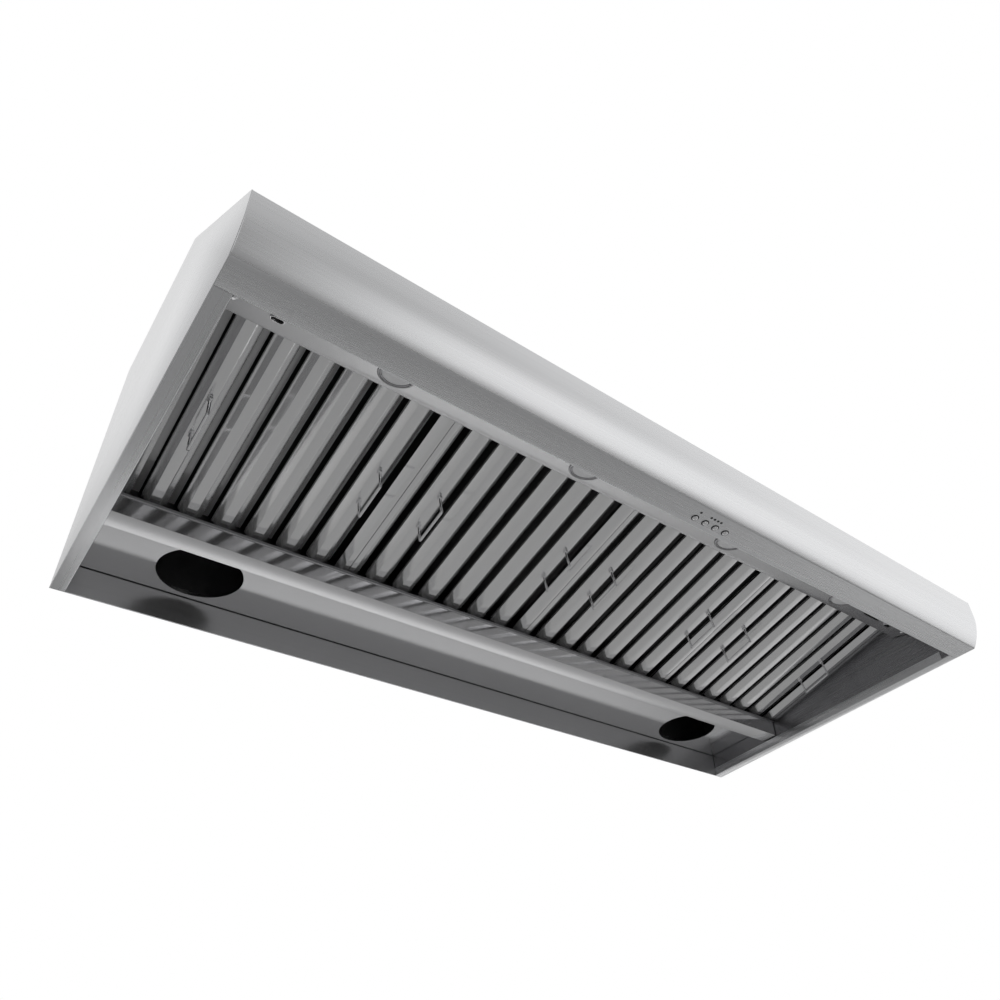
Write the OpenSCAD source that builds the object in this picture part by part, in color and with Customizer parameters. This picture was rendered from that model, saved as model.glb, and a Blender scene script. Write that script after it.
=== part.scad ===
/* [Canopy shell] */
// Width of the hood over its side panels
body_w = 1371.6; // [1250:0.1:1500]
// Height of the sheet metal body, without the duct collar
body_h = 462; // [440:1:500]
// Depth of the bottom rim, from the wall to the front edge
rim_d = 653; // [640:1:680]
// Depth of the flat top, from the wall
top_d = 315; // [310:1:340]
// How far the rounded nose stands out past the front rim
nose_out = 21.5; // [16:0.5:28]
// Height at which the nose turns vertical
nose_round_h = 62; // [50:1:70]
// Height of the crease between the nose and the sloping front
nose_h = 90; // [84:1:100]
// Thickness of the outer sheets
sheet_t = 1.2; // [1:0.1:1.6]
// Thickness of the inner sheets
liner_t = 1; // [0.8:0.1:1.2]
// Width of the bottom flange along each side
side_flange_w = 20; // [16:1:26]
// Depth of the bottom flange along the front
front_flange_d = 40.5; // [38:0.5:46]
// Height of the lip that turns up from the bottom flange
flange_lip_h = 17; // [12:1:24]
// Distance by which the side flanges' lips stop short of the front one
side_lip_short = 17; // [8:1:24]
// Width of the lap that the front shell tucks under the top panel
lap_w = 12; // [8:1:14]
// Width of the folds that fix the inner sheets
fold_w = 12; // [8:1:15]

/* [Wall fixing] */
// Spacing of the wall screws across the hood, two stud bays
wall_screw_w = 812.8; // [600:0.1:900]
// Spacing of the wall screws up the hood
wall_screw_h = 150; // [120:1:170]
// Depth of the middle of the wall screw pattern under the top
wall_screw_drop = 137; // [125:1:150]
// Diameter of the wall screw holes
wall_hole_d = 8.5; // [7:0.1:10]

/* [Inner canopy] */
// Gap shown between the inner sheets at their corners
corner_gap = 1.5; // [1:0.1:2.5]
// Height of the rear skirt above the rim
skirt_h = 46.5; // [40:0.5:50]
// Height of the flat rear panel with the lamp holes
lamp_panel_z = 48; // [47:0.5:52]
// Diameter of the two lamp holes
lamp_hole_d = 122; // [100:1:130]
// Distance of each lamp hole from the side of the hood
lamp_hole_inset = 172.3; // [150:0.1:220]
// Flat width between the lamp holes and the rear edge of their panel
lamp_back_w = 8.2; // [6:0.1:12]
// Flat width between the lamp holes and the drip trough
lamp_front_w = 19.9; // [14:0.1:24]
// Free height over the lamp straps, under the shelf
shelf_gap = 14.5; // [12:0.5:16]
// Depth of the light strip, from the front flange to its rear edge
strip_d = 94.5; // [90:0.5:100]
// Upward tilt of the light strip towards the rear
strip_tilt = 14.7; // [14:0.1:15.5]
// Height of the rear edge of the light strip
strip_rear_z = 91; // [88:0.5:94]
// Inside width of the drip trough
trough_w = 32; // [30:1:34]
// Height of the underside of the drip trough
trough_z = 19.5; // [16:0.5:24]
// Height of the front lip of the drip trough
trough_lip_z = 50; // [46:0.5:51]
// Width of the lip that is folded forward at the trough's front edge
trough_lip_w = 5; // [3:0.5:7]

/* [Baffle filters] */
// Thickness of a filter
filter_t = 40; // [38:1:42]
// Height of the filters' front edge above the edge of the light strip
filter_step = 36; // [35:0.5:37]
// Height of the filters' rear edge above the rim
filter_rear_z = 51.5; // [51:0.5:54]
// Free gap beside each filter
filter_gap = 0.6; // [0.5:0.1:1]
// Clearance under and round a part that moves
run_gap = 0.3; // [0.25:0.05:0.5]
// Sheet thickness of the baffles and frames
baffle_t = 1; // [0.8:0.1:1.2]
// Width of the flat face of a baffle
baffle_flat_w = 13.2; // [10:0.1:16]
// Width of each sloping side of a baffle
baffle_side_w = 10.2; // [8:0.1:12]
// Height of each sloping side of a baffle
baffle_side_h = 9.1; // [7:0.1:11]
// Height of the straight lip along each edge of a front baffle
front_lip_h = 4; // [2:0.5:6]
// Height of the straight lip along each edge of a rear baffle
rear_lip_h = 8; // [4:0.5:10]
// Width of the open slot between two front baffles
slot_w = 13.5; // [11:0.1:16]
// Least flat width beside the outermost slots
rail_flat_min = 6; // [4:0.5:8]
// Width of the frame's end flanges
end_flange_w = 22; // [20:1:24]
// Diameter of the grease drain holes
drain_d = 5; // [4:0.5:6]
// Number of grease drain holes in a filter
drain_n = 5; // [2:1:8]
// Distance of the drain holes in front of the filter's rear end
drain_inset = 16; // [15:0.5:18]

/* [Filter seats] */
// Overlap of the filters' front end past the rear edge of the light strip
filter_rest_w = 5; // [4:0.5:7]
// Width of the ledges that the filters rest on
ledge_w = 20; // [16:1:21]
// Free depth behind the filters' lower rear edge, above the drip trough
trough_back_gap = 11; // [9:0.5:13]
// Height of the upturned edges of the rear panel
panel_flange_h = 12; // [8:1:14]
// Gap between the rear panel and the rear skirt
panel_rear_gap = 1.6; // [1:0.1:3]
// Gap between the front flange's lip and the side liners
liner_front_gap = 1; // [0.5:0.1:2]
// Free height between the side liners and the sloping front
liner_top_gap = 6; // [4:1:12]

/* [Filter handles] */
// Wire diameter of the folding handles
wire_d = 4; // [3.5:0.1:4.5]
// Distance between the legs of a handle
handle_w = 72; // [60:1:80]
// Height of a handle, from its pivot to the middle of its bar
handle_h = 40; // [34:0.5:40]
// Inside radius of a handle's two bends
handle_bend_r = 4; // [3:0.5:6]
// Radial running clearance of the handle pins
pin_fit = 0.06; // [0.03:0.01:0.09]
// Length of the loop that holds each handle pin
loop_len = 6; // [4:0.5:8]
// Wall thickness of the handle loops
loop_wall = 1.2; // [1:0.1:1.5]

/* [Lights] */
// Number of lights in the strip
light_n = 4; // [2:1:4]
// Distance of the outer lights from the sides of the hood
light_end_inset = 233.5; // [210:0.5:250]
// Outer diameter of a light's trim ring
bezel_d = 50; // [46:0.5:54]
// Width of the trim ring's face
bezel_w = 5; // [4:0.5:6]
// How far the trim ring stands out of the strip
bezel_h = 2.2; // [1.5:0.1:3]
// Distance of the light centres behind the front rim edge
light_inset = 101; // [98:0.5:104]
// Diameter of a light's can
can_d = 44; // [42:0.5:45]
// Height of a light's can above the strip
can_h = 26; // [20:1:27]
// Wall thickness of a light's can
can_wall = 1; // [0.8:0.1:1.2]
// Play of the can in the hole of the strip
can_play = 1; // [0.6:0.1:1.4]
// Diameter of the cable boss on top of the can
can_boss_d = 20; // [14:1:26]
// Height of the cable boss
can_boss_h = 6; // [4:1:7]
// Thickness of the lens
lens_t = 2; // [1.5:0.1:2.5]

/* [Strip fittings] */
// Distance of the catches from the sides of the hood
catch_inset = 83.5; // [78:0.5:95]
// Diameter of the hole for a catch stud
catch_hole_d = 5; // [4.5:0.1:6]
// Width of the rim of a catch plate
catch_rim_w = 2; // [1.5:0.1:2.5]
// Thickness of a catch plate
catch_rim_h = 2.4; // [2:0.1:3]
// Width of a catch plate
catch_w = 18; // [14:1:24]
// Depth of a catch plate
catch_d = 10; // [9:0.5:11]
// Offset of the stud from the middle of its plate
stud_shift = 4; // [0:0.5:5]
// Diameter of a catch's stud head
stud_head_d = 8; // [7:0.5:9]
// Height of a catch's stud head
stud_head_h = 4; // [3:0.5:5]
// Distance of the strip's end screws from the sides of the hood
strip_screw_inset = 33; // [28:1:40]
// Distance of the access slot from the right side of the hood
end_slot_inset = 112.5; // [106:0.5:124]
// Width of the access slot
end_slot_w = 44; // [30:1:46]
// Depth of the access slot
end_slot_h = 5; // [3:0.5:6]
// Distance of the strip's fittings behind the light centres
fitting_back = 7; // [5:0.5:9]
// Diameter of the screw holes
screw_hole_d = 4.4; // [4.2:0.1:5]
// Diameter of the screws
screw_d = 4; // [3.5:0.1:4.1]
// Diameter of the screw heads
screw_head_d = 8; // [7:0.5:9]
// Height of the screw heads
screw_head_h = 2.4; // [2:0.1:3]
// Length of the screws
screw_len = 8; // [6:1:10]

/* [Controls] */
// Spacing of the push buttons
button_pitch = 20.4; // [18:0.1:24]
// Diameter of a push button
button_d = 8.8; // [8:0.1:9.6]
// Wall thickness of the sleeve round a button
sleeve_wall = 0.7; // [0.5:0.1:0.9]
// Width of the sleeve's outer flange
sleeve_flange_w = 0.8; // [0.6:0.1:1.2]
// Thickness of the sleeve's outer flange
sleeve_flange_h = 0.6; // [0.4:0.1:1]
// Height of the sleeve inside the rim
sleeve_rise = 3; // [2.5:0.1:4]
// Height of the shoulder that stops a button
shoulder_h = 1.2; // [0.8:0.1:1.6]
// How far the shoulder reaches past the button's cap
shoulder_w = 1; // [0.8:0.1:1.2]
// How far a push button stands out of the rim
button_out = 2.6; // [1.8:0.1:3.5]
// Travel of a push button
button_travel = 1.5; // [1:0.1:1.6]
// Distance of the buttons behind the front edge of the rim
button_inset = 25; // [24:0.5:26]
// Offset of the buttons from the middle of the hood
button_shift = 8.8; // [0:0.1:20]
// Diameter of an indicator
dot_d = 3; // [2.5:0.1:3.5]
// Spacing of the speed indicators
dot_pitch = 6.6; // [6:0.1:8]
// Distance of the indicators behind the front edge of the rim
dot_inset = 12; // [11:0.5:13]
// Number of speed indicators
dot_n = 4; // [1:1:4]
// Height of the switch board's underside above the rim
board_z = 16; // [14:1:20]
// Thickness of the switch board
board_t = 1.6; // [1:0.1:2]
// Depth of the switch board
board_d = 28; // [26:1:28]
// Distance of the switch board's front edge behind the front edge of the rim
board_inset = 8.5; // [8:0.5:10]
// Width of the switch board beyond the outer buttons
board_margin = 14; // [11:1:20]
// Width of the switch board's feet
foot_w = 5; // [3:0.5:6]
// Height of a push switch
tact_h = 3.5; // [3:0.1:4.5]
// Width of a push switch
tact_w = 6; // [5:0.1:7]

/* [Blower] */
// Radius of the impeller
wheel_r = 88; // [80:1:92]
// Width of the impeller
wheel_w = 170; // [150:1:172]
// Number of blades round the impeller
blade_n = 36; // [24:1:44]
// Width of the impeller's ring of blades, inwards from its edge
blade_ring_w = 16; // [12:1:20]
// Thickness of a blade
blade_t = 0.8; // [0.6:0.1:1.2]
// Lean of the blades from the radius
blade_lean = 28; // [15:1:32]
// Width of the impeller's end rings
ring_w = 3; // [2:0.5:4]
// Thickness of the impeller's centre disc
disc_t = 2; // [1.5:0.1:3]
// Radius of the impeller's hub
hub_r = 12; // [9:1:16]
// Length of the impeller's hub
hub_w = 24; // [16:1:28]
// Gap beside the impeller in its scroll
wheel_gap = 8; // [6:1:10]
// Radius of the scroll where it starts
scroll_r0 = 100; // [97:1:104]
// Radius of the scroll where it meets the outlet
scroll_r1 = 150; // [140:1:154]
// Distance of the impeller's shaft from the wall
shaft_y = 245; // [240:1:250]
// Depth of the impeller's shaft under the top
shaft_drop = 117; // [113:1:120]
// Diameter of the motor shaft
shaft_d = 8; // [6:0.5:10]
// Diameter of the motor
motor_d = 90; // [80:1:96]
// Length of the motor
motor_len = 80; // [70:1:82]
// Radius of the motor's front boss
boss_r = 14; // [11:1:18]
// Length of the motor's front boss
boss_h = 8; // [5:1:10]
// Depth of the shaft's bore in the motor
shaft_bore_len = 30; // [20:1:40]
// Thickness of the motor mount
mount_t = 3; // [2:0.5:4]
// Width of the motor mount's arms
arm_w = 16; // [12:1:20]
// Overlap of the arms on the scroll beside the inlet
arm_lap = 18; // [12:1:22]

/* [Duct collar] */
// Outside diameter of the duct collar, for a ten inch duct
collar_d = 252.4; // [240:0.1:254]
// Height of the duct collar
collar_h = 50; // [40:1:60]
// Width of the collar's square base plate
collar_base_w = 284; // [276:1:290]
// Diameter of the damper rod
rod_d = 5; // [4:0.5:6]
// Height of the damper rod above the top panel
rod_z = 10; // [8:0.5:12]
// Sheet thickness of the collar
collar_t = 1.2; // [1:0.1:1.5]
// Sheet thickness of the damper flaps
flap_t = 1; // [0.8:0.1:1.2]
// Gap between the flaps and the collar
flap_gap = 1.2; // [1:0.1:2]
// Width of the seat ring under the flaps
seat_w = 6; // [4:0.5:8]
// Length of a flap's knuckle
knuckle_len = 18; // [12:1:22]
// Distance of the collar's screws from the edge of its base plate
collar_screw_inset = 6; // [5:0.5:7]

/* [Lamp holders and power] */
// Diameter of a lamp holder
holder_d = 38; // [34:1:40]
// Depth of a lamp holder
holder_h = 40; // [34:1:44]
// Diameter of the lamp holder's threaded hole
holder_bore_d = 26.4; // [26:0.1:28]
// Thickness of a lamp holder above its threaded hole
holder_wall = 12; // [8:1:14]
// Inside width of the strap that carries a lamp holder
strap_span = 148; // [140:1:160]
// Inside height of the strap
strap_rise = 84; // [70:1:100]
// Width of the strap
strap_w = 30; // [24:1:36]
// Sheet thickness of the strap
strap_t = 1.5; // [1:0.1:2]
// Length of the strap's feet
strap_foot = 14; // [10:1:18]
// Diameter of the holes in the strap's legs
strap_hole_d = 9; // [6:0.5:11]
// Diameter of the power inlet hole
inlet_d = 22.2; // [20:0.1:24]
// Distance of the power inlet from the middle of the hood
inlet_x = 300; // [200:10:400]
// Distance of the power inlet from the wall
inlet_y = 70; // [50:1:100]
// Width of the control box
box_w = 180; // [140:5:200]
// Depth of the control box
box_d = 104; // [80:1:110]
// Height of the control box
box_h = 60; // [40:1:70]
// Wall thickness of the control box
box_wall = 1.2; // [1:0.1:1.5]
// Distance of the control box from the middle of the hood
box_x = 160; // [140:5:180]
// Gap between the control box and the wall
box_back = 24; // [20:1:30]
// Diameter of the wiring harness
harness_d = 6; // [5:0.5:8]
// Height at which the harness leaves the control box, above the shelf
harness_exit_h = 12; // [10:1:20]
// Distance that the harness runs straight out of the box
harness_exit_w = 14; // [10:1:20]
// Height at which the harness runs forward behind the right liner
harness_run_h = 40; // [30:1:60]
// Distance of the harness behind the front edge of the rim
harness_inset = 22; // [14:1:26]

/* [Hidden] */

// Smoothness of true rounds
$fn = 48;
// Overrun of every cut past the sheet that it goes through
cut = 2;
// Counts that the list of nodes fixes
filter_n = 4;
button_n = 4;

// Half widths and the main lines of the shell
half_w = body_w / 2;
inner_w = body_w - 2 * sheet_t;
mouth_half = half_w - side_flange_w;
bay_half = mouth_half + sheet_t;
bay_w = 2 * bay_half;
front_y = -rim_d;
mouth_y = front_y + front_flange_d;
nose_y = front_y - nose_out;
nose_r = (nose_out * nose_out + nose_round_h * nose_round_h) / (2 * nose_out);
top_z = body_h;
under_top_z = body_h - sheet_t;
wall_screw_z = body_h - wall_screw_drop;
shaft_z = body_h - shaft_drop;
front_pitch = (top_z - nose_h) / (-top_d - nose_y);
slope_top_y = -top_d - sheet_t / front_pitch;

// Lines of the light strip, measured from the rear edge that the photo shows
strip_rear_y = mouth_y + strip_d;
strip_front_y = mouth_y - sheet_t;
strip_slope = tan(strip_tilt);
strip_front_z = strip_rear_z - (strip_rear_y - strip_front_y) * strip_slope;
strip_half = bay_half - corner_gap;
light_y = front_y + light_inset;
light_pitch = (body_w - 2 * light_end_inset) / (light_n - 1);

// Lines of the rear panel and the drip trough, from the wall forward
panel_rear_y = -sheet_t - liner_t - panel_rear_gap;
lamp_y = panel_rear_y - lamp_back_w - lamp_hole_d / 2;
trough_rear_y = lamp_y - lamp_hole_d / 2 - lamp_front_w;
trough_front_y = trough_rear_y - 2 * liner_t - trough_w;
panel_front_y = trough_rear_y;
divider_y = panel_front_y + liner_t;
shelf_z = lamp_panel_z + liner_t + strap_rise + strap_t + shelf_gap;
lamp_x = half_w - lamp_hole_inset;

// Lines of the filters, which run from the light strip to the trough
filter_y = strip_rear_y - filter_rest_w;
filter_z = strip_rear_z + filter_step;
filter_run = trough_rear_y - trough_back_gap - filter_y;
filter_slope = (filter_z - filter_rear_z) / filter_run;
filter_tilt = atan(filter_slope);
filter_len = filter_run / cos(filter_tilt);
filter_w = (bay_w - (filter_n + 1) * filter_gap) / filter_n;
baffle_w = baffle_flat_w + 2 * baffle_side_w;
baffle_pitch = baffle_w + slot_w;
rail_side_min = rail_flat_min + baffle_side_w;
slot_n = floor((filter_w - 2 * rail_side_min - slot_w) / baffle_pitch) + 1;
first_slot_x = (filter_w - (slot_n - 1) * baffle_pitch) / 2;
rail_flat_w = first_slot_x - slot_w / 2 - baffle_side_w;

// Lines of the blower and the collar: the scroll opens at this angle above the wall side
outlet_start_a = 75;
scroll_steps = 19;
scroll_w = wheel_w + 2 * wheel_gap + 2 * sheet_t;
outlet_y0 = scroll_r0 * cos(outlet_start_a);
collar_y = -shaft_y + (outlet_y0 + scroll_r1) / 2;
collar_ri = collar_d / 2 - collar_t;
inlet_r = wheel_r - blade_ring_w;
motor_x = -scroll_w / 2 - mount_t;
seat_z = rod_z - flap_t / 2 - run_gap - collar_t;

// Pieces of the finish
outer_steel = [0.78, 0.78, 0.79];
inner_steel = [0.62, 0.62, 0.63];
dark_steel = [0.42, 0.42, 0.43];
galvanised = [0.66, 0.68, 0.69];
chrome = [0.86, 0.86, 0.87];
black_plastic = [0.07, 0.07, 0.07];
board_green = [0.10, 0.32, 0.18];
lens_white = [0.92, 0.92, 0.90];
porcelain = [0.93, 0.91, 0.86];

// Puts a shape drawn from the rim and the wall into the frame of the wall screws
module hood() {
  translate([0, 0, -wall_screw_z]) children();
}

// Unit normal on the left of a line from a to b
function left_of(a, b) = [a[1] - b[1], b[0] - a[0]] / norm(b - a);

// The same path, moved to its left by t, with mitred corners
function beside(p, t) = [for (i = [0:len(p) - 1])
  let (last = len(p) - 1)
  let (n0 = left_of(p[max(i - 1, 0)], p[max(i, 1)]))
  let (n1 = left_of(p[min(i, last - 1)], p[min(i + 1, last)]))
  p[i] + t * (n0 + n1) / (1 + n0 * n1)];

function backwards(p) = [for (i = [len(p) - 1:-1:0]) p[i]];

// Section of a bent sheet: the path is one face, the other lies t to its left
module bent(path, t) {
  polygon(concat(path, backwards(beside(path, t))));
}

// Runs a section drawn in depth and height across the hood, centred on its middle
module across(w) {
  rotate([90, 0, 90]) linear_extrude(height = w, center = true) children();
}

// Runs a section drawn in width and height down the length of a filter
module along(l) {
  translate([0, l, 0]) rotate([90, 0, 0]) linear_extrude(height = l) children();
}

// A round bar from one point to another along X, Y or Z
module rod(r, h, turn = [0, 0, 0]) {
  rotate(turn) cylinder(r = r, h = h);
}

// Outline of the hood's side, in depth and height: straight lines and the rounded nose
module side_outline() {
  polygon([[0, 0], [front_y, 0], [nose_y, nose_round_h], [nose_y, nose_h], [-top_d, top_z],
    [0, top_z]]);
  intersection() {
    translate([nose_y + nose_r, nose_round_h]) circle(r = nose_r);
    translate([nose_y, 0]) square([nose_out, nose_round_h]);
  }
}

// Shell

// Front sheet: lap, slope, rounded nose, bottom flange and lip, bent from one piece
module front_shell_sheet() {
  across(inner_w) {
    bent([[-top_d + lap_w, under_top_z], [slope_top_y, under_top_z], [nose_y, nose_h],
      [nose_y, nose_round_h]], sheet_t);
    intersection() {
      translate([nose_y + nose_r, nose_round_h]) difference() {
        circle(r = nose_r);
        circle(r = nose_r - sheet_t);
      }
      translate([nose_y, 0]) square([nose_out + 2 * sheet_t, nose_round_h]);
    }
    bent([[front_y, 0], [mouth_y, 0], [mouth_y, flange_lip_h]], sheet_t);
  }
}

sleeve_d = button_d + 2 * run_gap + 2 * sleeve_wall;
function button_x(i) = button_shift + (i - (button_n - 1) / 2) * button_pitch;
button_y = front_y + button_inset;
dot_y = front_y + dot_inset;
// The lone indicator sits over the first button, the row of four between the middle ones
function dot_x(i) = i == 0 ? button_x(0) : button_shift + (i - (dot_n + 1) / 2) * dot_pitch;

module front_shell() {
  color(outer_steel) hood() difference() {
    front_shell_sheet();
    for (i = [0:button_n - 1]) translate([button_x(i), button_y, -cut])
      cylinder(d = sleeve_d, h = sheet_t + 2 * cut);
    for (i = [0:dot_n]) translate([dot_x(i), dot_y, -cut])
      cylinder(d = dot_d + run_gap, h = sheet_t + 2 * cut);
  }
}

// Side sheet with its bottom flange and lip, drawn on the right of the hood
module side_sheet() {
  flange_len = -mouth_y - sheet_t;
  translate([half_w - sheet_t / 2, 0, 0]) across(sheet_t) side_outline();
  translate([mouth_half, mouth_y, 0]) cube([side_flange_w - sheet_t, flange_len, sheet_t]);
  translate([mouth_half, mouth_y + side_lip_short, 0])
    cube([sheet_t, flange_len - side_lip_short, flange_lip_h]);
}

module left_side_panel() {
  color(outer_steel) hood() mirror([1, 0, 0]) side_sheet();
}

module right_side_panel() {
  color(outer_steel) hood() side_sheet();
}

// Top sheet, open over the blower's outlet and drilled for the power cable
module top_panel() {
  color(outer_steel) hood() difference() {
    translate([-inner_w / 2, -top_d, under_top_z]) cube([inner_w, top_d, sheet_t]);
    translate([-scroll_w / 2, -shaft_y + outlet_y0, under_top_z - cut])
      cube([scroll_w, scroll_r1 - outlet_y0, sheet_t + 2 * cut]);
    translate([inlet_x, -inlet_y, under_top_z - cut]) cylinder(d = inlet_d, h = sheet_t + 2 * cut);
    collar_corners() translate([0, 0, under_top_z - cut])
      cylinder(d = screw_hole_d, h = sheet_t + 2 * cut);
  }
}

module back_panel() {
  color(galvanised) hood() difference() {
    translate([-inner_w / 2, -sheet_t, 0]) cube([inner_w, sheet_t, under_top_z]);
    for (x = [-wall_screw_w / 2, wall_screw_w / 2], z = [-wall_screw_h / 2, wall_screw_h / 2])
      translate([x, cut, wall_screw_z + z]) rod(wall_hole_d / 2, sheet_t + 2 * cut, [90, 0, 0]);
  }
}

// Inner canopy

// Inner side sheet, drawn on the right: it stands behind the lip of the bottom flange
module liner_sheet() {
  y0 = mouth_y + liner_front_gap;
  z0 = nose_h + (y0 - nose_y) * front_pitch - liner_top_gap;
  y1 = -sheet_t - liner_t;
  z1 = z0 + (y1 - y0) * front_pitch;
  translate([bay_half + liner_t / 2, 0, 0]) across(liner_t) intersection() {
    translate([y0, sheet_t]) square([y1 - y0, shelf_z - sheet_t]);
    polygon([[y0, 0], [y1, 0], [y1, z1], [y0, z0]]);
  }
}

module left_liner() {
  color(inner_steel) hood() mirror([1, 0, 0]) liner_sheet();
}

module right_liner() {
  color(inner_steel) hood() liner_sheet();
}

// Rear inner sheet, short of the side liners by the corner gap
module rear_skirt() {
  color(dark_steel) hood() translate([-strip_half, -sheet_t - liner_t, 0])
    cube([2 * strip_half, liner_t, skirt_h]);
}

// Flat rear panel with both lamp holes and upturned front and rear edges
module lamp_panel() {
  up_z = lamp_panel_z + panel_flange_h;
  path = [[panel_front_y, up_z], [panel_front_y, lamp_panel_z], [panel_rear_y, lamp_panel_z],
    [panel_rear_y, up_z]];
  color(inner_steel) hood() difference() {
    across(2 * strip_half) bent(path, liner_t);
    for (x = [-lamp_x, lamp_x]) translate([x, lamp_y, lamp_panel_z - cut])
      cylinder(d = lamp_hole_d, h = liner_t + 2 * cut);
  }
}

// Upright sheet and shelf that part the lamp space from the filtered air
module plenum_divider() {
  path = [[divider_y, lamp_panel_z + liner_t], [divider_y, shelf_z], [-sheet_t, shelf_z],
    [-sheet_t, shelf_z - fold_w]];
  color(galvanised) hood() across(bay_w) bent(backwards(path), liner_t);
}

// Trough that catches the grease: folded lip, front wall, floor, rear wall and filter ledge
function filter_face_z(y) = filter_z - (y - filter_y) * filter_slope;
module trough_section() {
  ledge_y = trough_rear_y - ledge_w;
  path = [[trough_front_y - trough_lip_w, trough_lip_z], [trough_front_y, trough_lip_z],
    [trough_front_y, trough_z], [trough_rear_y, trough_z],
    [trough_rear_y, filter_face_z(trough_rear_y) - run_gap],
    [ledge_y, filter_face_z(ledge_y) - run_gap]];
  bent(path, liner_t);
}
module trough_cap() {
  polygon([[trough_front_y, trough_z], [trough_rear_y, trough_z],
    [trough_rear_y, trough_lip_z - liner_t - run_gap], [trough_front_y, trough_lip_z]]);
}
module drip_trough() {
  color(inner_steel) hood() {
    across(2 * strip_half) trough_section();
    for (s = [-1, 1]) translate([s * (strip_half - liner_t / 2), 0, 0]) across(liner_t) trough_cap();
  }
}

// Light strip: front wall, tilted face with the light holes, and the wall that the filters rest on
fitting_y = light_y + fitting_back;
// Places a shape on the face of the strip, with its own Z square to the sheet
module on_strip(x, y = light_y) {
  translate([x, y, strip_rear_z - (strip_rear_y - y) * strip_slope]) rotate([strip_tilt, 0, 0])
    children();
}
function light_x(i) = (i - (light_n - 1) / 2) * light_pitch;
light_hole_d = can_d + can_play;
module light_strip() {
  ledge_y = strip_rear_y - ledge_w;
  path = [[strip_front_y, sheet_t], [strip_front_y, strip_front_z], [strip_rear_y, strip_rear_z],
    [strip_rear_y, filter_face_z(strip_rear_y) - run_gap],
    [ledge_y, filter_face_z(ledge_y) - run_gap]];
  color(inner_steel) hood() difference() {
    across(2 * strip_half) bent(path, liner_t);
    for (i = [0:light_n - 1]) on_strip(light_x(i)) translate([0, 0, -cut])
      cylinder(d = light_hole_d, h = liner_t + 2 * cut);
    for (s = [-1, 1]) on_strip(s * (half_w - catch_inset) + stud_shift, fitting_y)
      translate([0, 0, -cut]) cylinder(d = catch_hole_d, h = liner_t + 2 * cut);
    for (s = [-1, 1]) on_strip(s * (half_w - strip_screw_inset), fitting_y) translate([0, 0, -cut])
      cylinder(d = screw_hole_d, h = liner_t + 2 * cut);
    on_strip(half_w - end_slot_inset - end_slot_w / 2, fitting_y - end_slot_h / 2)
      translate([0, 0, -cut]) cube([end_slot_w, end_slot_h, liner_t + 2 * cut]);
  }
}

// Chrome catches near the ends of the strip: an oval rim and a turned stud
module oval(w, d) {
  square([w - d, d], center = true);
  for (s = [-1, 1]) translate([s * (w - d) / 2, 0]) circle(d = d);
}
module strip_catch() {
  translate([0, 0, -catch_rim_h]) linear_extrude(height = catch_rim_h) difference() {
    oval(catch_w, catch_d);
    oval(catch_w - 2 * catch_rim_w, catch_d - 2 * catch_rim_w);
  }
  translate([stud_shift, 0, -stud_head_h]) {
    cylinder(d = stud_head_d, h = stud_head_h);
    cylinder(d = catch_hole_d - run_gap, h = stud_head_h + liner_t);
  }
}
module strip_catches() {
  color(chrome) hood() for (s = [-1, 1]) on_strip(s * (half_w - catch_inset), fitting_y)
    strip_catch();
}

// Lights

// Chrome trim ring with a rounded face, clipped over the edge of its hole
module bezel() {
  ro = bezel_d / 2;
  rise = bezel_w / 2;
  face_r = (rise * rise + bezel_h * bezel_h) / (2 * bezel_h);
  rotate_extrude() intersection() {
    translate([ro - rise, face_r - bezel_h]) circle(r = face_r);
    translate([ro - bezel_w, -bezel_h]) square([bezel_w, bezel_h]);
  }
}
module light_bezels() {
  color(chrome) hood() for (i = [0:light_n - 1]) on_strip(light_x(i)) bezel();
}
module light_lenses() {
  color(lens_white) hood() for (i = [0:light_n - 1]) on_strip(light_x(i))
    cylinder(d = can_d - 2 * can_wall, h = lens_t);
}
module light_can() {
  difference() {
    cylinder(d = can_d, h = can_h);
    translate([0, 0, -cut]) cylinder(d = can_d - 2 * can_wall, h = can_h - can_wall + cut);
  }
  translate([0, 0, can_h]) cylinder(d = can_boss_d, h = can_boss_h);
}
module light_cans() {
  color(galvanised) hood() for (i = [0:light_n - 1]) on_strip(light_x(i)) light_can();
}

// Baffle filters

function filter_x(k) = -bay_half + filter_gap + (k - 1) * (filter_w + filter_gap);
// Places a shape drawn on a filter: X across it, Y down its slope, Z square to its face
module on_filter(k) {
  translate([filter_x(k), filter_y, filter_z]) rotate([-filter_tilt, 0, 0]) children();
}

// Frame: the side rails are half baffles, the end rails are channels that hold the baffles
module side_rail() {
  path = [[end_flange_w, filter_t], [0, filter_t], [0, 0], [rail_flat_w, 0],
    [rail_flat_w + baffle_side_w, baffle_side_h]];
  along(filter_len) bent(path, baffle_t);
}
module end_rail() {
  path = [[end_flange_w, filter_t], [0, filter_t], [0, 0], [end_flange_w, 0]];
  rotate([90, 0, 90]) linear_extrude(height = filter_w) bent(path, baffle_t);
}
module filter_frame(k) {
  color(inner_steel) hood() on_filter(k) difference() {
    union() {
      side_rail();
      translate([filter_w, 0, 0]) mirror([1, 0, 0]) side_rail();
      end_rail();
      translate([0, filter_len, 0]) mirror([0, 1, 0]) end_rail();
    }
    for (i = [1:drain_n]) translate([i * filter_w / (drain_n + 1), filter_len - drain_inset, -cut])
      cylinder(d = drain_d, h = baffle_t + 2 * cut);
  }
}
module filter_frame_1() { filter_frame(1); }
module filter_frame_2() { filter_frame(2); }
module filter_frame_3() { filter_frame(3); }
module filter_frame_4() { filter_frame(4); }

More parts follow.
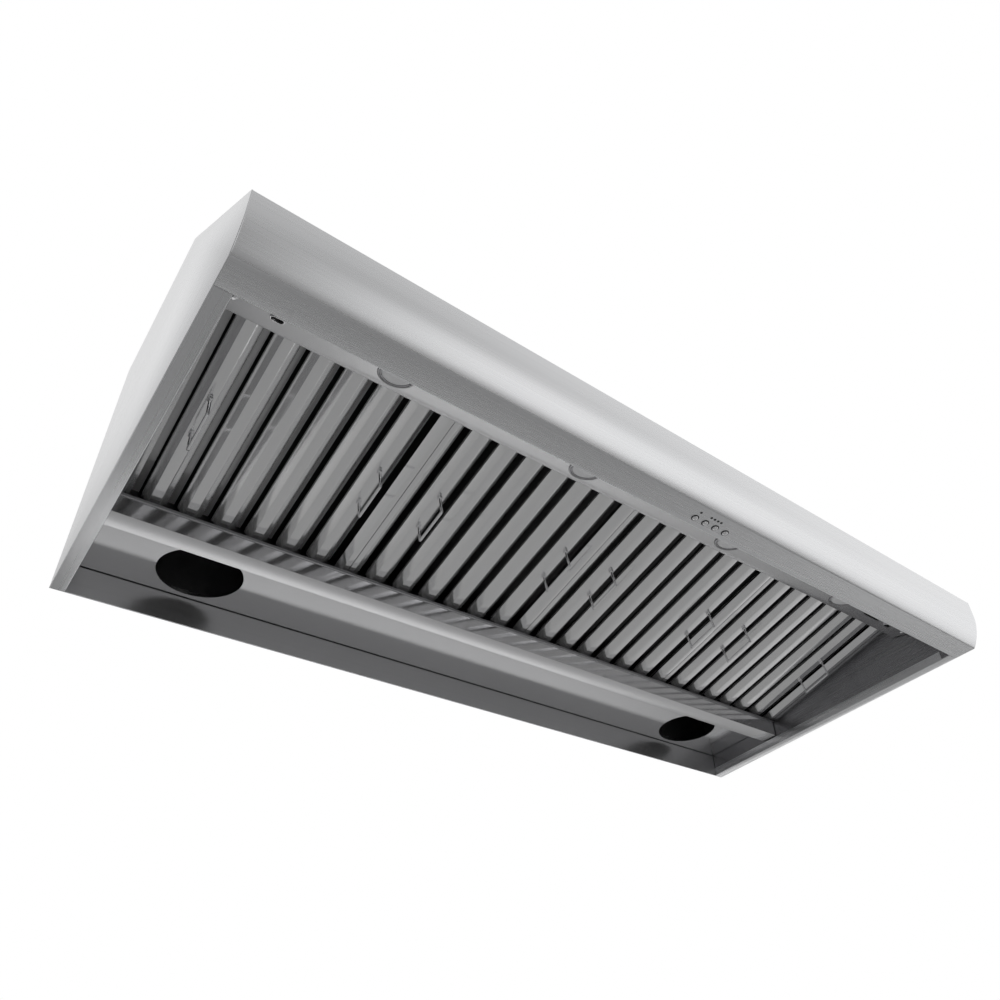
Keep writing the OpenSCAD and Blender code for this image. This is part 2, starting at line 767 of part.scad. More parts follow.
// Section of one baffle: flat, two sloping sides and two straight lips
module baffle_section(lip_h) {
  f = baffle_flat_w / 2;
  s = f + baffle_side_w;
  bent([[-s, baffle_side_h + lip_h], [-s, baffle_side_h], [-f, 0], [f, 0],
    [s, baffle_side_h], [s, baffle_side_h + lip_h]], baffle_t);
}
function slot_x(i) = first_slot_x + i * baffle_pitch;
function baffle_x(i) = slot_x(i) + baffle_pitch / 2;

// Pivot of a handle under the face of its baffle
wire_r = wire_d / 2;
pivot_z = baffle_t - wire_r - pin_fit - loop_wall;
handle_y0 = (filter_len - handle_w) / 2;
handle_y1 = handle_y0 + handle_w;
// Loop that holds one handle pin, welded to the baffle's face
module handle_loop() {
  loop_r = wire_r + pin_fit + loop_wall;
  rotate([-90, 0, 0]) difference() {
    union() {
      cylinder(r = loop_r, h = loop_len);
      translate([-loop_r, -(baffle_t - pivot_z), 0]) cube([2 * loop_r, baffle_t - pivot_z, loop_len]);
    }
    translate([0, 0, -cut]) cylinder(r = wire_r + pin_fit, h = loop_len + 2 * cut);
  }
}
module front_baffles(k) {
  loop_gap = wire_r + run_gap;
  color(inner_steel) hood() on_filter(k) {
    for (i = [0:slot_n - 2]) translate([baffle_x(i), baffle_t, baffle_t])
      along(filter_len - 2 * baffle_t) baffle_section(front_lip_h);
    for (i = [0, slot_n - 2], y = [handle_y0 + loop_gap, handle_y1 - loop_gap - loop_len])
      translate([baffle_x(i), y, pivot_z]) handle_loop();
  }
}
module front_baffles_1() { front_baffles(1); }
module front_baffles_2() { front_baffles(2); }
module front_baffles_3() { front_baffles(3); }
module front_baffles_4() { front_baffles(4); }

module rear_baffles(k) {
  color(dark_steel) hood() on_filter(k)
    for (i = [0:slot_n - 1]) translate([slot_x(i), baffle_t, filter_t - baffle_t])
      mirror([0, 0, 1]) along(filter_len - 2 * baffle_t) baffle_section(rear_lip_h);
}
module rear_baffles_1() { rear_baffles(1); }
module rear_baffles_2() { rear_baffles(2); }
module rear_baffles_3() { rear_baffles(3); }
module rear_baffles_4() { rear_baffles(4); }

// Folding handle: a bar, two bends, two legs and two pins that turn in the loops
module quarter_bend() {
  rotate([0, 90, 0]) rotate_extrude(angle = 90) translate([bend_mid_r, 0]) circle(r = wire_r);
}
bend_mid_r = handle_bend_r + wire_r;
module handle(k, i) {
  leg_h = handle_h - bend_mid_r;
  pin_len = wire_r + run_gap + loop_len + loop_wall;
  color(chrome) hood() on_filter(k) translate([baffle_x(i), 0, pivot_z]) {
    for (y = [handle_y0, handle_y1]) translate([0, y, -leg_h]) rod(wire_r, leg_h);
    translate([0, handle_y0 + bend_mid_r, -handle_h])
      rod(wire_r, handle_w - 2 * bend_mid_r, [-90, 0, 0]);
    translate([0, handle_y0 + bend_mid_r, -leg_h]) mirror([0, 1, 0]) quarter_bend();
    translate([0, handle_y1 - bend_mid_r, -leg_h]) quarter_bend();
    translate([0, handle_y0, 0]) rod(wire_r, pin_len, [-90, 0, 0]);
    translate([0, handle_y1, 0]) rod(wire_r, pin_len, [90, 0, 0]);
    for (y = [handle_y0, handle_y1]) translate([0, y, 0]) sphere(r = wire_r);
  }
}
module handle_1_left() { handle(1, 0); }
module handle_1_right() { handle(1, slot_n - 2); }
module handle_2_left() { handle(2, 0); }
module handle_2_right() { handle(2, slot_n - 2); }
module handle_3_left() { handle(3, 0); }
module handle_3_right() { handle(3, slot_n - 2); }
module handle_4_left() { handle(4, 0); }
module handle_4_right() { handle(4, slot_n - 2); }

// Controls

// Button: domed cap, stem, and a shoulder that keeps it from falling through its bezel
module button(i) {
  dome_h = button_out / 2;
  stem_d = button_d / 2;
  ro = button_d / 2;
  dome_r = (ro * ro + dome_h * dome_h) / (2 * dome_h);
  shoulder_z = sleeve_rise + run_gap;
  top = board_z - tact_h - button_travel - run_gap;
  color(chrome) hood() translate([button_x(i), button_y, 0]) {
    intersection() {
      translate([0, 0, -button_out]) cylinder(r = ro, h = button_out + shoulder_z);
      translate([0, 0, dome_r - button_out]) sphere(r = dome_r);
    }
    translate([0, 0, shoulder_z]) cylinder(d = stem_d, h = top - shoulder_z);
    translate([0, 0, shoulder_z]) cylinder(r = ro + shoulder_w, h = shoulder_h);
  }
}
module button_1() { button(0); }
module button_2() { button(1); }
module button_3() { button(2); }
module button_4() { button(3); }

// Sleeve round each button, pressed into the front flange
module button_bezels() {
  color(black_plastic) hood() for (i = [0:button_n - 1]) translate([button_x(i), button_y, 0])
    difference() {
      union() {
        translate([0, 0, -sleeve_flange_h])
          cylinder(d = sleeve_d + 2 * sleeve_flange_w, h = sleeve_flange_h);
        cylinder(d = sleeve_d, h = sleeve_rise);
      }
      translate([0, 0, -cut]) cylinder(d = button_d + 2 * run_gap, h = sleeve_rise + 2 * cut);
    }
}

// Board over the buttons, with one push switch each and two feet that stand on the flange
board_w = (button_n - 1) * button_pitch + 2 * board_margin;
module switch_board() {
  x0 = button_shift - board_w / 2;
  y0 = front_y + board_inset;
  color(board_green) hood() {
    translate([x0, y0, board_z]) cube([board_w, board_d, board_t]);
    for (i = [0:button_n - 1])
      translate([button_x(i) - tact_w / 2, button_y - tact_w / 2, board_z - tact_h])
        cube([tact_w, tact_w, tact_h]);
    for (x = [x0, x0 + board_w - foot_w]) translate([x, y0, sheet_t])
      cube([foot_w, board_d, board_z - sheet_t]);
  }
}

// Light guides from the board down to the indicator holes
module indicator_guides() {
  color(black_plastic) hood() for (i = [0:dot_n]) translate([dot_x(i), dot_y, 0])
    cylinder(d = dot_d, h = board_z);
}

// Lamp holders

// Bent strap over each lamp hole, standing on the rear panel
module lamp_strap() {
  half = strap_span / 2;
  z0 = lamp_panel_z + liner_t;
  path = [[-half - strap_foot, z0], [-half, z0], [-half, z0 + strap_rise], [half, z0 + strap_rise],
    [half, z0], [half + strap_foot, z0]];
  difference() {
    rotate([90, 0, 0]) linear_extrude(height = strap_w, center = true) bent(path, strap_t);
    for (y = [-strap_w / 4, strap_w / 4], z = [strap_rise / 3, strap_rise * 2 / 3])
      translate([-half - strap_t - cut, y, z0 + z])
        rod(strap_hole_d / 2, strap_t + 2 * cut, [0, 90, 0]);
  }
}
module lamp_brackets() {
  color(galvanised) hood() for (x = [-lamp_x, lamp_x]) translate([x, lamp_y, 0]) lamp_strap();
}
module lamp_holders() {
  z1 = lamp_panel_z + liner_t + strap_rise;
  color(porcelain) hood() for (x = [-lamp_x, lamp_x]) translate([x, lamp_y, z1 - holder_h])
    difference() {
      cylinder(d = holder_d, h = holder_h);
      translate([0, 0, -cut]) cylinder(d = holder_bore_d, h = holder_h - holder_wall + cut);
    }
}

// Power and control box on the shelf
module control_box() {
  color(galvanised) hood() translate([box_x, -box_back - box_d, shelf_z]) difference() {
    cube([box_w, box_d, box_h]);
    translate([box_wall, box_wall, box_wall])
      cube([box_w - 2 * box_wall, box_d - 2 * box_wall, box_h]);
    translate([box_w - box_wall - cut, box_d / 2, harness_exit_h])
      rod(harness_r, box_wall + 2 * cut, [0, 90, 0]);
  }
}
module control_lid() {
  color(galvanised) hood() translate([box_x, -box_back - box_d, shelf_z + box_h])
    cube([box_w, box_d, box_wall]);
}

// Wiring harness: from the box over the shelf, down behind the right liner, forward and along
// the front flange to the switch board
harness_r = harness_d / 2;
function harness_route() =
  let (x0 = box_x + box_w - box_wall, x1 = box_x + box_w + harness_exit_w)
  let (x2 = bay_half + liner_t + harness_r, x3 = button_shift + board_w / 2)
  let (y0 = -box_back - box_d / 2, y1 = front_y + harness_inset)
  let (z0 = shelf_z + harness_exit_h, z1 = shelf_z + harness_r, z2 = sheet_t + harness_r)
  [[x0, y0, z0], [x1, y0, z0], [x1, y0, z1], [x2, y0, z1], [x2, y0, harness_run_h],
    [x2, y1, harness_run_h], [x2, y1, z2], [x3, y1, z2]];
module stretch(a, b) {
  d = b - a;
  turn = d[0] != 0 ? [0, 90 * sign(d[0]), 0] : d[1] != 0 ? [-90 * sign(d[1]), 0, 0]
    : [d[2] > 0 ? 0 : 180, 0, 0];
  translate(a) rotate(turn) cylinder(r = harness_r, h = norm(d));
}
module wiring_harness() {
  r = harness_route();
  color(black_plastic) hood() {
    for (i = [0:len(r) - 2]) stretch(r[i], r[i + 1]);
    for (i = [1:len(r) - 2]) translate(r[i]) sphere(r = harness_r);
  }
}

// Blower

// Outline of the scroll in depth and height from the shaft, moved inwards by a wall
function scroll_outline(inset) = concat(
  [for (i = [0:scroll_steps]) let (a = outlet_start_a + (360 - outlet_start_a) * i / scroll_steps)
    let (r = scroll_r0 + (scroll_r1 - scroll_r0) * i / scroll_steps - inset) [r * cos(a), r * sin(a)]],
  [[scroll_r1 - inset, under_top_z - shaft_z], [outlet_y0 + inset, under_top_z - shaft_z]]);
module on_shaft() {
  hood() translate([0, -shaft_y, shaft_z]) children();
}
module scroll_housing() {
  color(galvanised) on_shaft() {
    across(scroll_w - 2 * sheet_t) difference() {
      polygon(scroll_outline(0));
      polygon(concat(scroll_outline(sheet_t), [
        [scroll_r1 - sheet_t, under_top_z - shaft_z + cut],
        [outlet_y0 + sheet_t, under_top_z - shaft_z + cut]]));
    }
    for (s = [-1, 1]) translate([s * (scroll_w - sheet_t) / 2, 0, 0]) difference() {
      across(sheet_t) polygon(scroll_outline(0));
      translate([-sheet_t / 2 - cut, 0, 0]) rod(inlet_r, sheet_t + 2 * cut, [0, 90, 0]);
    }
  }
}

// Impeller: centre disc, hub, two end rings and forward curved blades
module blade() {
  inner = inlet_r + blade_t;
  translate([inner, 0]) rotate(blade_lean)
    square([(wheel_r - inner) / cos(blade_lean) - 2 * blade_t, blade_t]);
}
module impeller() {
  color(galvanised) on_shaft() {
    across(wheel_w) for (i = [0:blade_n - 1]) rotate(i * 360 / blade_n) blade();
    for (s = [-1, 1]) translate([s * (wheel_w - ring_w) / 2, 0, 0]) across(ring_w) difference() {
      circle(r = wheel_r);
      circle(r = inlet_r);
    }
    across(disc_t) difference() {
      circle(r = wheel_r);
      circle(r = shaft_d / 2);
    }
    across(hub_w) difference() {
      circle(r = hub_r);
      circle(r = shaft_d / 2);
    }
  }
}

// Motor inside the left half of the impeller, carried by a three armed mount
module motor_shaft() {
  x1 = hub_w / 2;
  x0 = motor_x + motor_len - shaft_bore_len + run_gap;
  color(chrome) on_shaft() translate([x0, 0, 0]) rod(shaft_d / 2, x1 - x0, [0, 90, 0]);
}
module motor() {
  color(dark_steel) on_shaft() translate([motor_x, 0, 0]) difference() {
    union() {
      rod(motor_d / 2, motor_len - boss_h, [0, 90, 0]);
      translate([motor_len - boss_h, 0, 0]) rod(boss_r, boss_h, [0, 90, 0]);
    }
    translate([motor_len - shaft_bore_len, 0, 0])
      rod(shaft_d / 2 + pin_fit, shaft_bore_len + cut, [0, 90, 0]);
  }
}
module motor_mount() {
  arm_n = 3;
  first_arm_a = 30;
  color(galvanised) on_shaft() translate([motor_x + mount_t / 2, 0, 0])
    across(mount_t) difference() {
      union() {
        circle(r = motor_d / 2 + arm_w / 2);
        for (i = [0:arm_n - 1]) rotate(first_arm_a + i * 360 / arm_n) translate([0, -arm_w / 2])
          square([inlet_r + arm_lap, arm_w]);
      }
      circle(r = motor_d / 2);
    }
}

// Duct collar and damper

module collar_corners() {
  c = collar_base_w / 2 - collar_screw_inset;
  for (x = [-c, c], y = [-c, c]) translate([x, collar_y + y, 0]) children();
}
module on_collar() {
  hood() translate([0, collar_y, top_z]) children();
}
module duct_collar() {
  ri = collar_ri;
  color(galvanised) on_collar() difference() {
    union() {
      translate([-collar_base_w / 2, -collar_base_w / 2, 0])
        cube([collar_base_w, collar_base_w, collar_t]);
      cylinder(d = collar_d, h = collar_h);
    }
    translate([0, 0, -cut]) cylinder(r = ri - seat_w, h = collar_h + 2 * cut);
    translate([0, 0, -cut]) cylinder(r = ri, h = seat_z + cut);
    translate([0, 0, seat_z + collar_t]) cylinder(r = ri, h = collar_h);
    translate([-collar_d, 0, rod_z]) rod(rod_d / 2 + pin_fit, 2 * collar_d, [0, 90, 0]);
    translate([0, -collar_y, -top_z]) collar_corners() translate([0, 0, top_z - cut])
      cylinder(d = screw_hole_d, h = collar_t + 2 * cut);
  }
}

// Rod across the collar that both flaps hang on
module damper_rod() {
  len = collar_d - collar_t;
  color(chrome) on_collar() translate([-len / 2, 0, rod_z]) rod(rod_d / 2, len, [0, 90, 0]);
}

// Places of the knuckles along the rod, as shares of its half: those of the two flaps take turns
front_knuckle_shares = [-0.55, 0.35];
rear_knuckle_shares = [-0.35, 0.55];
// Half round flap, drawn towards the wall, with two knuckles on the rod
module flap(shares) {
  ri = collar_ri;
  knuckle_r = rod_d / 2 + pin_fit + collar_t;
  difference() {
    union() {
      intersection() {
        translate([0, 0, -flap_t / 2]) cylinder(r = ri - flap_gap, h = flap_t);
        translate([-ri, knuckle_r + run_gap, -flap_t]) cube([2 * ri, ri, 2 * flap_t]);
      }
      for (s = shares) {
        translate([s * ri - knuckle_len / 2, 0, 0]) rod(knuckle_r, knuckle_len, [0, 90, 0]);
        translate([s * ri - knuckle_len / 2, 0, -flap_t / 2])
          cube([knuckle_len, 2 * knuckle_r, flap_t]);
      }
    }
    translate([-ri, 0, 0]) rod(rod_d / 2 + pin_fit, 2 * ri, [0, 90, 0]);
  }
}
module front_flap() {
  color(galvanised) on_collar() translate([0, 0, rod_z]) mirror([0, 1, 0]) flap(front_knuckle_shares);
}
module rear_flap() {
  color(galvanised) on_collar() translate([0, 0, rod_z]) flap(rear_knuckle_shares);
}

// Fasteners: four hold the collar, two show at the ends of the light strip
module screw(len) {
  translate([0, 0, -len]) cylinder(d = screw_d, h = len);
  intersection() {
    cylinder(d = screw_head_d, h = screw_head_h);
    translate([0, 0, -screw_head_h]) sphere(d = screw_head_d + screw_head_h);
  }
}
module screws() {
  color(chrome) hood() {
    collar_corners() translate([0, 0, top_z + collar_t]) screw(screw_len);
    for (s = [-1, 1]) on_strip(s * (half_w - strip_screw_inset), fitting_y) mirror([0, 0, 1])
      screw(screw_len);
  }
}

front_shell();
left_side_panel();
right_side_panel();
top_panel();
back_panel();
left_liner();
right_liner();
rear_skirt();
lamp_panel();
plenum_divider();
drip_trough();
light_strip();
strip_catches();
light_bezels();
light_lenses();
light_cans();
filter_frame_1();
filter_frame_2();
filter_frame_3();
filter_frame_4();
front_baffles_1();
front_baffles_2();
front_baffles_3();
front_baffles_4();
rear_baffles_1();
rear_baffles_2();
rear_baffles_3();
rear_baffles_4();
handle_1_left();
handle_1_right();
handle_2_left();
handle_2_right();
handle_3_left();
handle_3_right();
handle_4_left();
handle_4_right();
button_1();
button_2();
button_3();
button_4();
button_bezels();
switch_board();
indicator_guides();
lamp_brackets();
lamp_holders();
control_box();
control_lid();
scroll_housing();
impeller();
motor_shaft();
motor();
motor_mount();
duct_collar();
damper_rod();
front_flap();
rear_flap();
wiring_harness();
screws();
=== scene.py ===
import math

import bmesh
import bpy
from mathutils import Matrix, Vector


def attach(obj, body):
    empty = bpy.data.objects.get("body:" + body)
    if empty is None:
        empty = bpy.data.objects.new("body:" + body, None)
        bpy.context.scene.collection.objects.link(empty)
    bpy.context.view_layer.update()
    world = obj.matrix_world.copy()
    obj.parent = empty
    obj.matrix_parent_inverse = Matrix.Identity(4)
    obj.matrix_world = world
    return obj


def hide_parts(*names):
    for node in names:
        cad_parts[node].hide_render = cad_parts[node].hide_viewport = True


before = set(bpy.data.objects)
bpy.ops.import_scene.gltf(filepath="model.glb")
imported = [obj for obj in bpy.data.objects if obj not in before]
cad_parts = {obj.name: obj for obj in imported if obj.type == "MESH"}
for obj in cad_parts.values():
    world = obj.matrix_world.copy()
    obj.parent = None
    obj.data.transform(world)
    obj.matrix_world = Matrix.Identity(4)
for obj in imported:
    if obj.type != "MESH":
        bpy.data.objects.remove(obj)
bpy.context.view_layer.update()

mm = 0.001

# Camera. It hangs low at the left of the hood and looks up into the canopy, with the picture's
# centre off the optical axis as in the photograph.
camera_data = bpy.data.cameras.new("camera")
camera_data.sensor_width = 36
camera_data.lens = 30.948
camera_data.shift_x = -0.10459
camera_data.shift_y = 0.0633
camera_data.clip_start = 0.05
camera_data.clip_end = 60
camera = bpy.data.objects.new("camera", camera_data)
bpy.context.scene.collection.objects.link(camera)
camera.location = (-768.87 * mm, -1214.32 * mm, -1093.11 * mm)
camera.rotation_euler = tuple(math.radians(a) for a in (127.08002, 5.12911, -39.89931))
bpy.context.scene.camera = camera

# Front sheet of the shell: one brushed stainless sheet, bent to the slope, the rounded nose, the
# bottom flange and its upturned lip. Heights count from the rim, depths from the wall.
RIM = -325 * mm
HALF = 685.8 * mm
OUTER_T = 1.2 * mm
INNER_T = 1 * mm
FRONT = -653 * mm
NOSE = -674.5 * mm
MOUTH = -612.5 * mm
NOSE_ROUND = 62 * mm
NOSE_DEPTH = FRONT - NOSE
NOSE_STEPS = 20
NOSE_TOP = 90 * mm
TOP = 462 * mm
TOP_FRONT = -315 * mm
LIP_H = 17 * mm
FLANGE_W = 20 * mm


def mesh_edit(piece):
    """Goes into edit mode on one piece with nothing selected, and hands over its mesh."""
    bpy.ops.object.select_all(action="DESELECT")
    piece.select_set(True)
    bpy.context.view_layer.objects.active = piece
    bpy.ops.object.mode_set(mode="EDIT")
    bpy.ops.mesh.select_all(action="DESELECT")
    return bmesh.from_edit_mesh(piece.data)


def mesh_done(piece):
    bmesh.update_edit_mesh(piece.data)
    bpy.ops.object.mode_set(mode="OBJECT")


def apply_modifier(piece, kind, **settings):
    bpy.ops.object.select_all(action="DESELECT")
    piece.select_set(True)
    bpy.context.view_layer.objects.active = piece
    modifier = piece.modifiers.new(kind.lower(), kind)
    for key, value in settings.items():
        setattr(modifier, key, value)
    bpy.ops.object.modifier_apply(modifier=modifier.name)


def settle(piece):
    """Puts the piece's place into its mesh and smooths all but its sharp edges."""
    bpy.ops.object.select_all(action="DESELECT")
    piece.select_set(True)
    bpy.context.view_layer.objects.active = piece
    bpy.ops.object.transform_apply(location=True, rotation=True, scale=True)
    bpy.ops.object.shade_smooth_by_angle(angle=math.radians(32))
    return piece


def sheet_strip(name, line, start, end, thickness, bend=None, bends=None):
    """A bent sheet: an edge from start to end is extruded along the line's points, its inner corners
    are bevelled to the bend radius, and the wall goes to the left of the line."""
    bpy.ops.object.select_all(action="DESELECT")
    bpy.ops.mesh.primitive_plane_add(size=1)
    piece = bpy.context.active_object
    piece.name = piece.data.name = name
    mesh = mesh_edit(piece)
    mesh.verts.ensure_lookup_table()
    spare = [mesh.verts[2], mesh.verts[3]]
    kept = [mesh.verts[0], mesh.verts[1]]
    bmesh.ops.delete(mesh, geom=spare, context="VERTS")
    if not [e for e in mesh.edges]:
        mesh.edges.new(kept)
    kept[0].co, kept[1].co = Vector(start) + Vector(line[0]), Vector(end) + Vector(line[0])
    for part in kept + [e for e in mesh.edges]:
        part.select = True
    bmesh.update_edit_mesh(piece.data)
    for here, there in zip(line, line[1:]):
        step = Vector(there) - Vector(here)
        bpy.ops.mesh.extrude_region_move(TRANSFORM_OT_translate={"value": step})
    mesh = bmesh.from_edit_mesh(piece.data)
    along = (Vector(end) - Vector(start)).normalized()
    if bend:
        bpy.ops.mesh.select_all(action="DESELECT")
        wanted = [Vector(p) for p in (line[1:-1] if bends is None else [line[b] for b in bends])]
        for edge in mesh.edges:
            middle = (edge.verts[0].co + edge.verts[1].co) / 2
            flat = middle - along * middle.dot(along)
            if len(edge.link_faces) == 2:
                edge.select = any((flat - (w - along * w.dot(along))).length < 1e-6 for w in wanted)
        bmesh.update_edit_mesh(piece.data)
        bpy.ops.mesh.bevel(offset=bend, offset_type="OFFSET", segments=4, affect="EDGES")
    mesh_done(piece)
    first = Vector(line[1]) - Vector(line[0])
    left = along.cross(first).normalized()
    middle = (Vector(line[0]) + Vector(line[1]) + Vector(start) + Vector(end)) / 2
    first_face = min(piece.data.polygons, key=lambda face: (face.center - middle).length)
    inwards = first_face.normal.dot(left) > 0
    apply_modifier(piece, "SOLIDIFY", thickness=thickness, offset=1 if inwards else -1,
                   use_even_offset=True)
    return piece


def depth_line(points):
    """Points given as depth from the wall and height over the rim, in the frame."""
    return [Vector((0, y, z + RIM)) for y, z in points]


nose_r = (NOSE_DEPTH ** 2 + NOSE_ROUND ** 2) / (2 * NOSE_DEPTH)
nose_sweep = math.asin(NOSE_ROUND / nose_r)
nose_curve = [(NOSE + nose_r - nose_r * math.cos(nose_sweep * i / NOSE_STEPS),
               NOSE_ROUND - nose_r * math.sin(nose_sweep * i / NOSE_STEPS)) for i in range(NOSE_STEPS + 1)]
front_line = depth_line([(-303 * mm, TOP - OUTER_T), (-316.16 * mm, TOP - OUTER_T), (NOSE, NOSE_TOP)]
                        + nose_curve + [(MOUTH, 0), (MOUTH, LIP_H)])
front_sheet = sheet_strip("front_sheet", front_line, (-HALF + OUTER_T, 0, 0), (HALF - OUTER_T, 0, 0),
                          OUTER_T, bend=1.2 * mm, bends=[1, 2, len(front_line) - 3, len(front_line) - 2])


def drill(piece, places, radius, length, axis=(0, 0, 1), segments=32):
    """Bores round holes through a piece."""
    turn = Vector((0, 0, 1)).rotation_difference(Vector(axis)).to_euler()
    bpy.ops.object.select_all(action="DESELECT")
    cutters = []
    for place in places:
        bpy.ops.mesh.primitive_cylinder_add(radius=radius, depth=length, vertices=segments,
                                            location=place, rotation=turn)
        cutters.append(bpy.context.active_object)
    for cutter in cutters:
        cutter.select_set(True)
    bpy.context.view_layer.objects.active = cutters[0]
    if len(cutters) > 1:
        bpy.ops.object.join()
    cutter = bpy.context.active_object
    apply_modifier(piece, "BOOLEAN", operation="DIFFERENCE", object=cutter, solver="EXACT")
    bpy.data.objects.remove(cutter)


BUTTONS_MIDDLE = 8.8 * mm
BUTTON_X = [BUTTONS_MIDDLE + (i - 1.5) * 20.4 * mm for i in range(4)]
BUTTON_Y = -628 * mm
BUTTON_HOLE_R = 5.4 * mm
DOT_X = [BUTTON_X[0]] + [BUTTONS_MIDDLE + (i - 2.5) * 6.6 * mm for i in range(1, 5)]
DOT_Y = -641 * mm
DOT_HOLE_R = 1.7 * mm
THROUGH = 8 * mm
drill(front_sheet, [(x, BUTTON_Y, RIM) for x in BUTTON_X], BUTTON_HOLE_R, THROUGH)
drill(front_sheet, [(x, DOT_Y, RIM) for x in DOT_X], DOT_HOLE_R, THROUGH, segments=20)
settle(front_sheet)
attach(front_sheet, "canopy")
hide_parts("front_shell")


class Value:
    """One output of a material's node, on which maths is written as plain expressions."""

    def __init__(self, finish, socket):
        self.finish, self.socket = finish, socket

    def combine(self, operation, first, second):
        return self.finish.node("ShaderNodeMath", {"operation": operation}, {0: first, 1: second})

    def __add__(self, other):
        return self.combine("ADD", self, other)

    def __sub__(self, other):
        return self.combine("SUBTRACT", self, other)

    def __rsub__(self, other):
        return self.combine("SUBTRACT", other, self)

    def __mul__(self, other):
        return self.combine("MULTIPLY", self, other)

    __radd__ = __add__
    __rmul__ = __mul__


class Finish:
    """A procedural finish: nodes are added by type, settings and inputs."""

    def __init__(self, name):
        self.material = bpy.data.materials.new(name)
        self.material.use_nodes = True
        self.tree = self.material.node_tree
        self.shader = self.tree.nodes["Principled BSDF"]

    def node(self, kind, settings=None, inputs=None, output=0):
        made = self.tree.nodes.new(kind)
        for key, value in (settings or {}).items():
            if key == "stops":
                while len(made.color_ramp.elements) < len(value):
                    made.color_ramp.elements.new(0.5)
                for element, (place, colour) in zip(made.color_ramp.elements, value):
                    element.position, element.color = place, (*colour, 1)
            else:
                setattr(made, key, value)
        for key, value in (inputs or {}).items():
            self.feed(made.inputs[key], value)
        return Value(self, made.outputs[output])

    def feed(self, socket, value):
        if isinstance(value, Value):
            self.tree.links.new(value.socket, socket)
        else:
            socket.default_value = value

    def surface(self, **inputs):
        for key, value in inputs.items():
            self.feed(self.shader.inputs[key.replace("_", " ")], value)
        return self.material


def give(material, *pieces):
    """Puts one finish on pieces, in place of what they had."""
    for piece in pieces:
        piece.data.materials.clear()
        piece.data.materials.append(material)


def brushed(name, tone, roughness, along=(1, 0, 0), metal=1.0, depth=0.002, cloud=0.08, clouds=3.0,
            streaks=700):
    """Brushed stainless: fine streaks on broader ones along the grain, and wide faint clouds."""
    finish = Finish(name)
    place = finish.node("ShaderNodeTexCoord", output=3)

    def grain(across, detail):
        stretch = tuple(across / 1200 if a else across for a in along)
        lined = finish.node("ShaderNodeMapping", inputs={"Vector": place, "Scale": stretch})
        return finish.node("ShaderNodeTexNoise", inputs={"Vector": lined, "Scale": 1.0, "Detail": detail})

    streak = grain(streaks, 4.0)
    band = grain(streaks * 0.4, 2.0)
    broad = grain(streaks * 0.11, 2.0)
    blotch = finish.node("ShaderNodeTexNoise", inputs={"Vector": place, "Scale": clouds, "Detail": 3.0})
    pale = tuple(min(1, c * (1 + cloud)) for c in tone)
    deep = tuple(c * (1 - cloud) for c in tone)
    mixed = finish.node("ShaderNodeMix", {"data_type": "RGBA"},
                        {0: streak * 0.3 + band * 0.3 + broad * 0.15 + blotch * 0.25,
                         6: (*deep, 1), 7: (*pale, 1)}, output=2)
    bump = finish.node("ShaderNodeBump", inputs={"Height": streak, "Strength": depth, "Distance": 0.0004})
    return finish.surface(Base_Color=mixed, Metallic=metal, Normal=bump,
                          Roughness=streak * 0.08 + blotch * 0.06 + (roughness - 0.07))


outer_steel = brushed("brushed_stainless_outer", (0.735, 0.738, 0.748), 0.28, cloud=0.14)
give(outer_steel, front_sheet)

# Side panels: cut from stainless sheet to the hood's side, with a bottom flange folded inwards and
# a lip folded up from it. They are welded to the front sheet and ground smooth at the seam.
LIP_SHORT = 17 * mm


def side_panel(name, sign):
    outline = depth_line([(0, 0)] + list(reversed(nose_curve))
                         + [(NOSE, NOSE_TOP), (TOP_FRONT, TOP), (0, TOP)])
    bpy.ops.object.select_all(action="DESELECT")
    bpy.ops.mesh.primitive_circle_add(vertices=len(outline), radius=1, fill_type="NGON")
    panel = bpy.context.active_object
    panel.name = panel.data.name = name
    mesh = mesh_edit(panel)
    mesh.verts.ensure_lookup_table()
    for vert, point in zip(mesh.verts, outline):
        vert.co = point + Vector((sign * HALF, 0, 0))
    bpy.ops.mesh.select_all(action="SELECT")
    bmesh.update_edit_mesh(panel.data)
    bpy.ops.mesh.extrude_region_move(TRANSFORM_OT_translate={"value": (-sign * OUTER_T, 0, 0)})
    bpy.ops.mesh.select_all(action="SELECT")
    bpy.ops.mesh.normals_make_consistent(inside=False)
    mesh_done(panel)
    flange_line = [Vector((sign * x, 0, z + RIM)) for x, z in
                   [(HALF - OUTER_T, 0), (HALF - FLANGE_W, 0), (HALF - FLANGE_W, LIP_H)]]
    ends = [(0, MOUTH, 0), (0, -OUTER_T, 0)]
    if sign < 0:
        ends.reverse()
    flange = sheet_strip(name + "_flange", flange_line, ends[0], ends[1], OUTER_T, bend=1.2 * mm)
    bpy.ops.object.select_all(action="DESELECT")
    bpy.ops.mesh.primitive_cube_add(size=1, scale=(6 * mm, 2 * LIP_SHORT, 20 * mm),
                                    location=(sign * (HALF - FLANGE_W), MOUTH, 11.4 * mm + RIM))
    notch = bpy.context.active_object
    apply_modifier(flange, "BOOLEAN", operation="DIFFERENCE", object=notch, solver="EXACT")
    bpy.data.objects.remove(notch)
    bpy.ops.object.select_all(action="DESELECT")
    panel.select_set(True)
    flange.select_set(True)
    bpy.context.view_layer.objects.active = panel
    bpy.ops.object.join()
    apply_modifier(panel, "BEVEL", width=0.35 * mm, segments=2, limit_method="ANGLE",
                   angle_limit=math.radians(50))
    settle(panel)
    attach(panel, "canopy")
    return panel


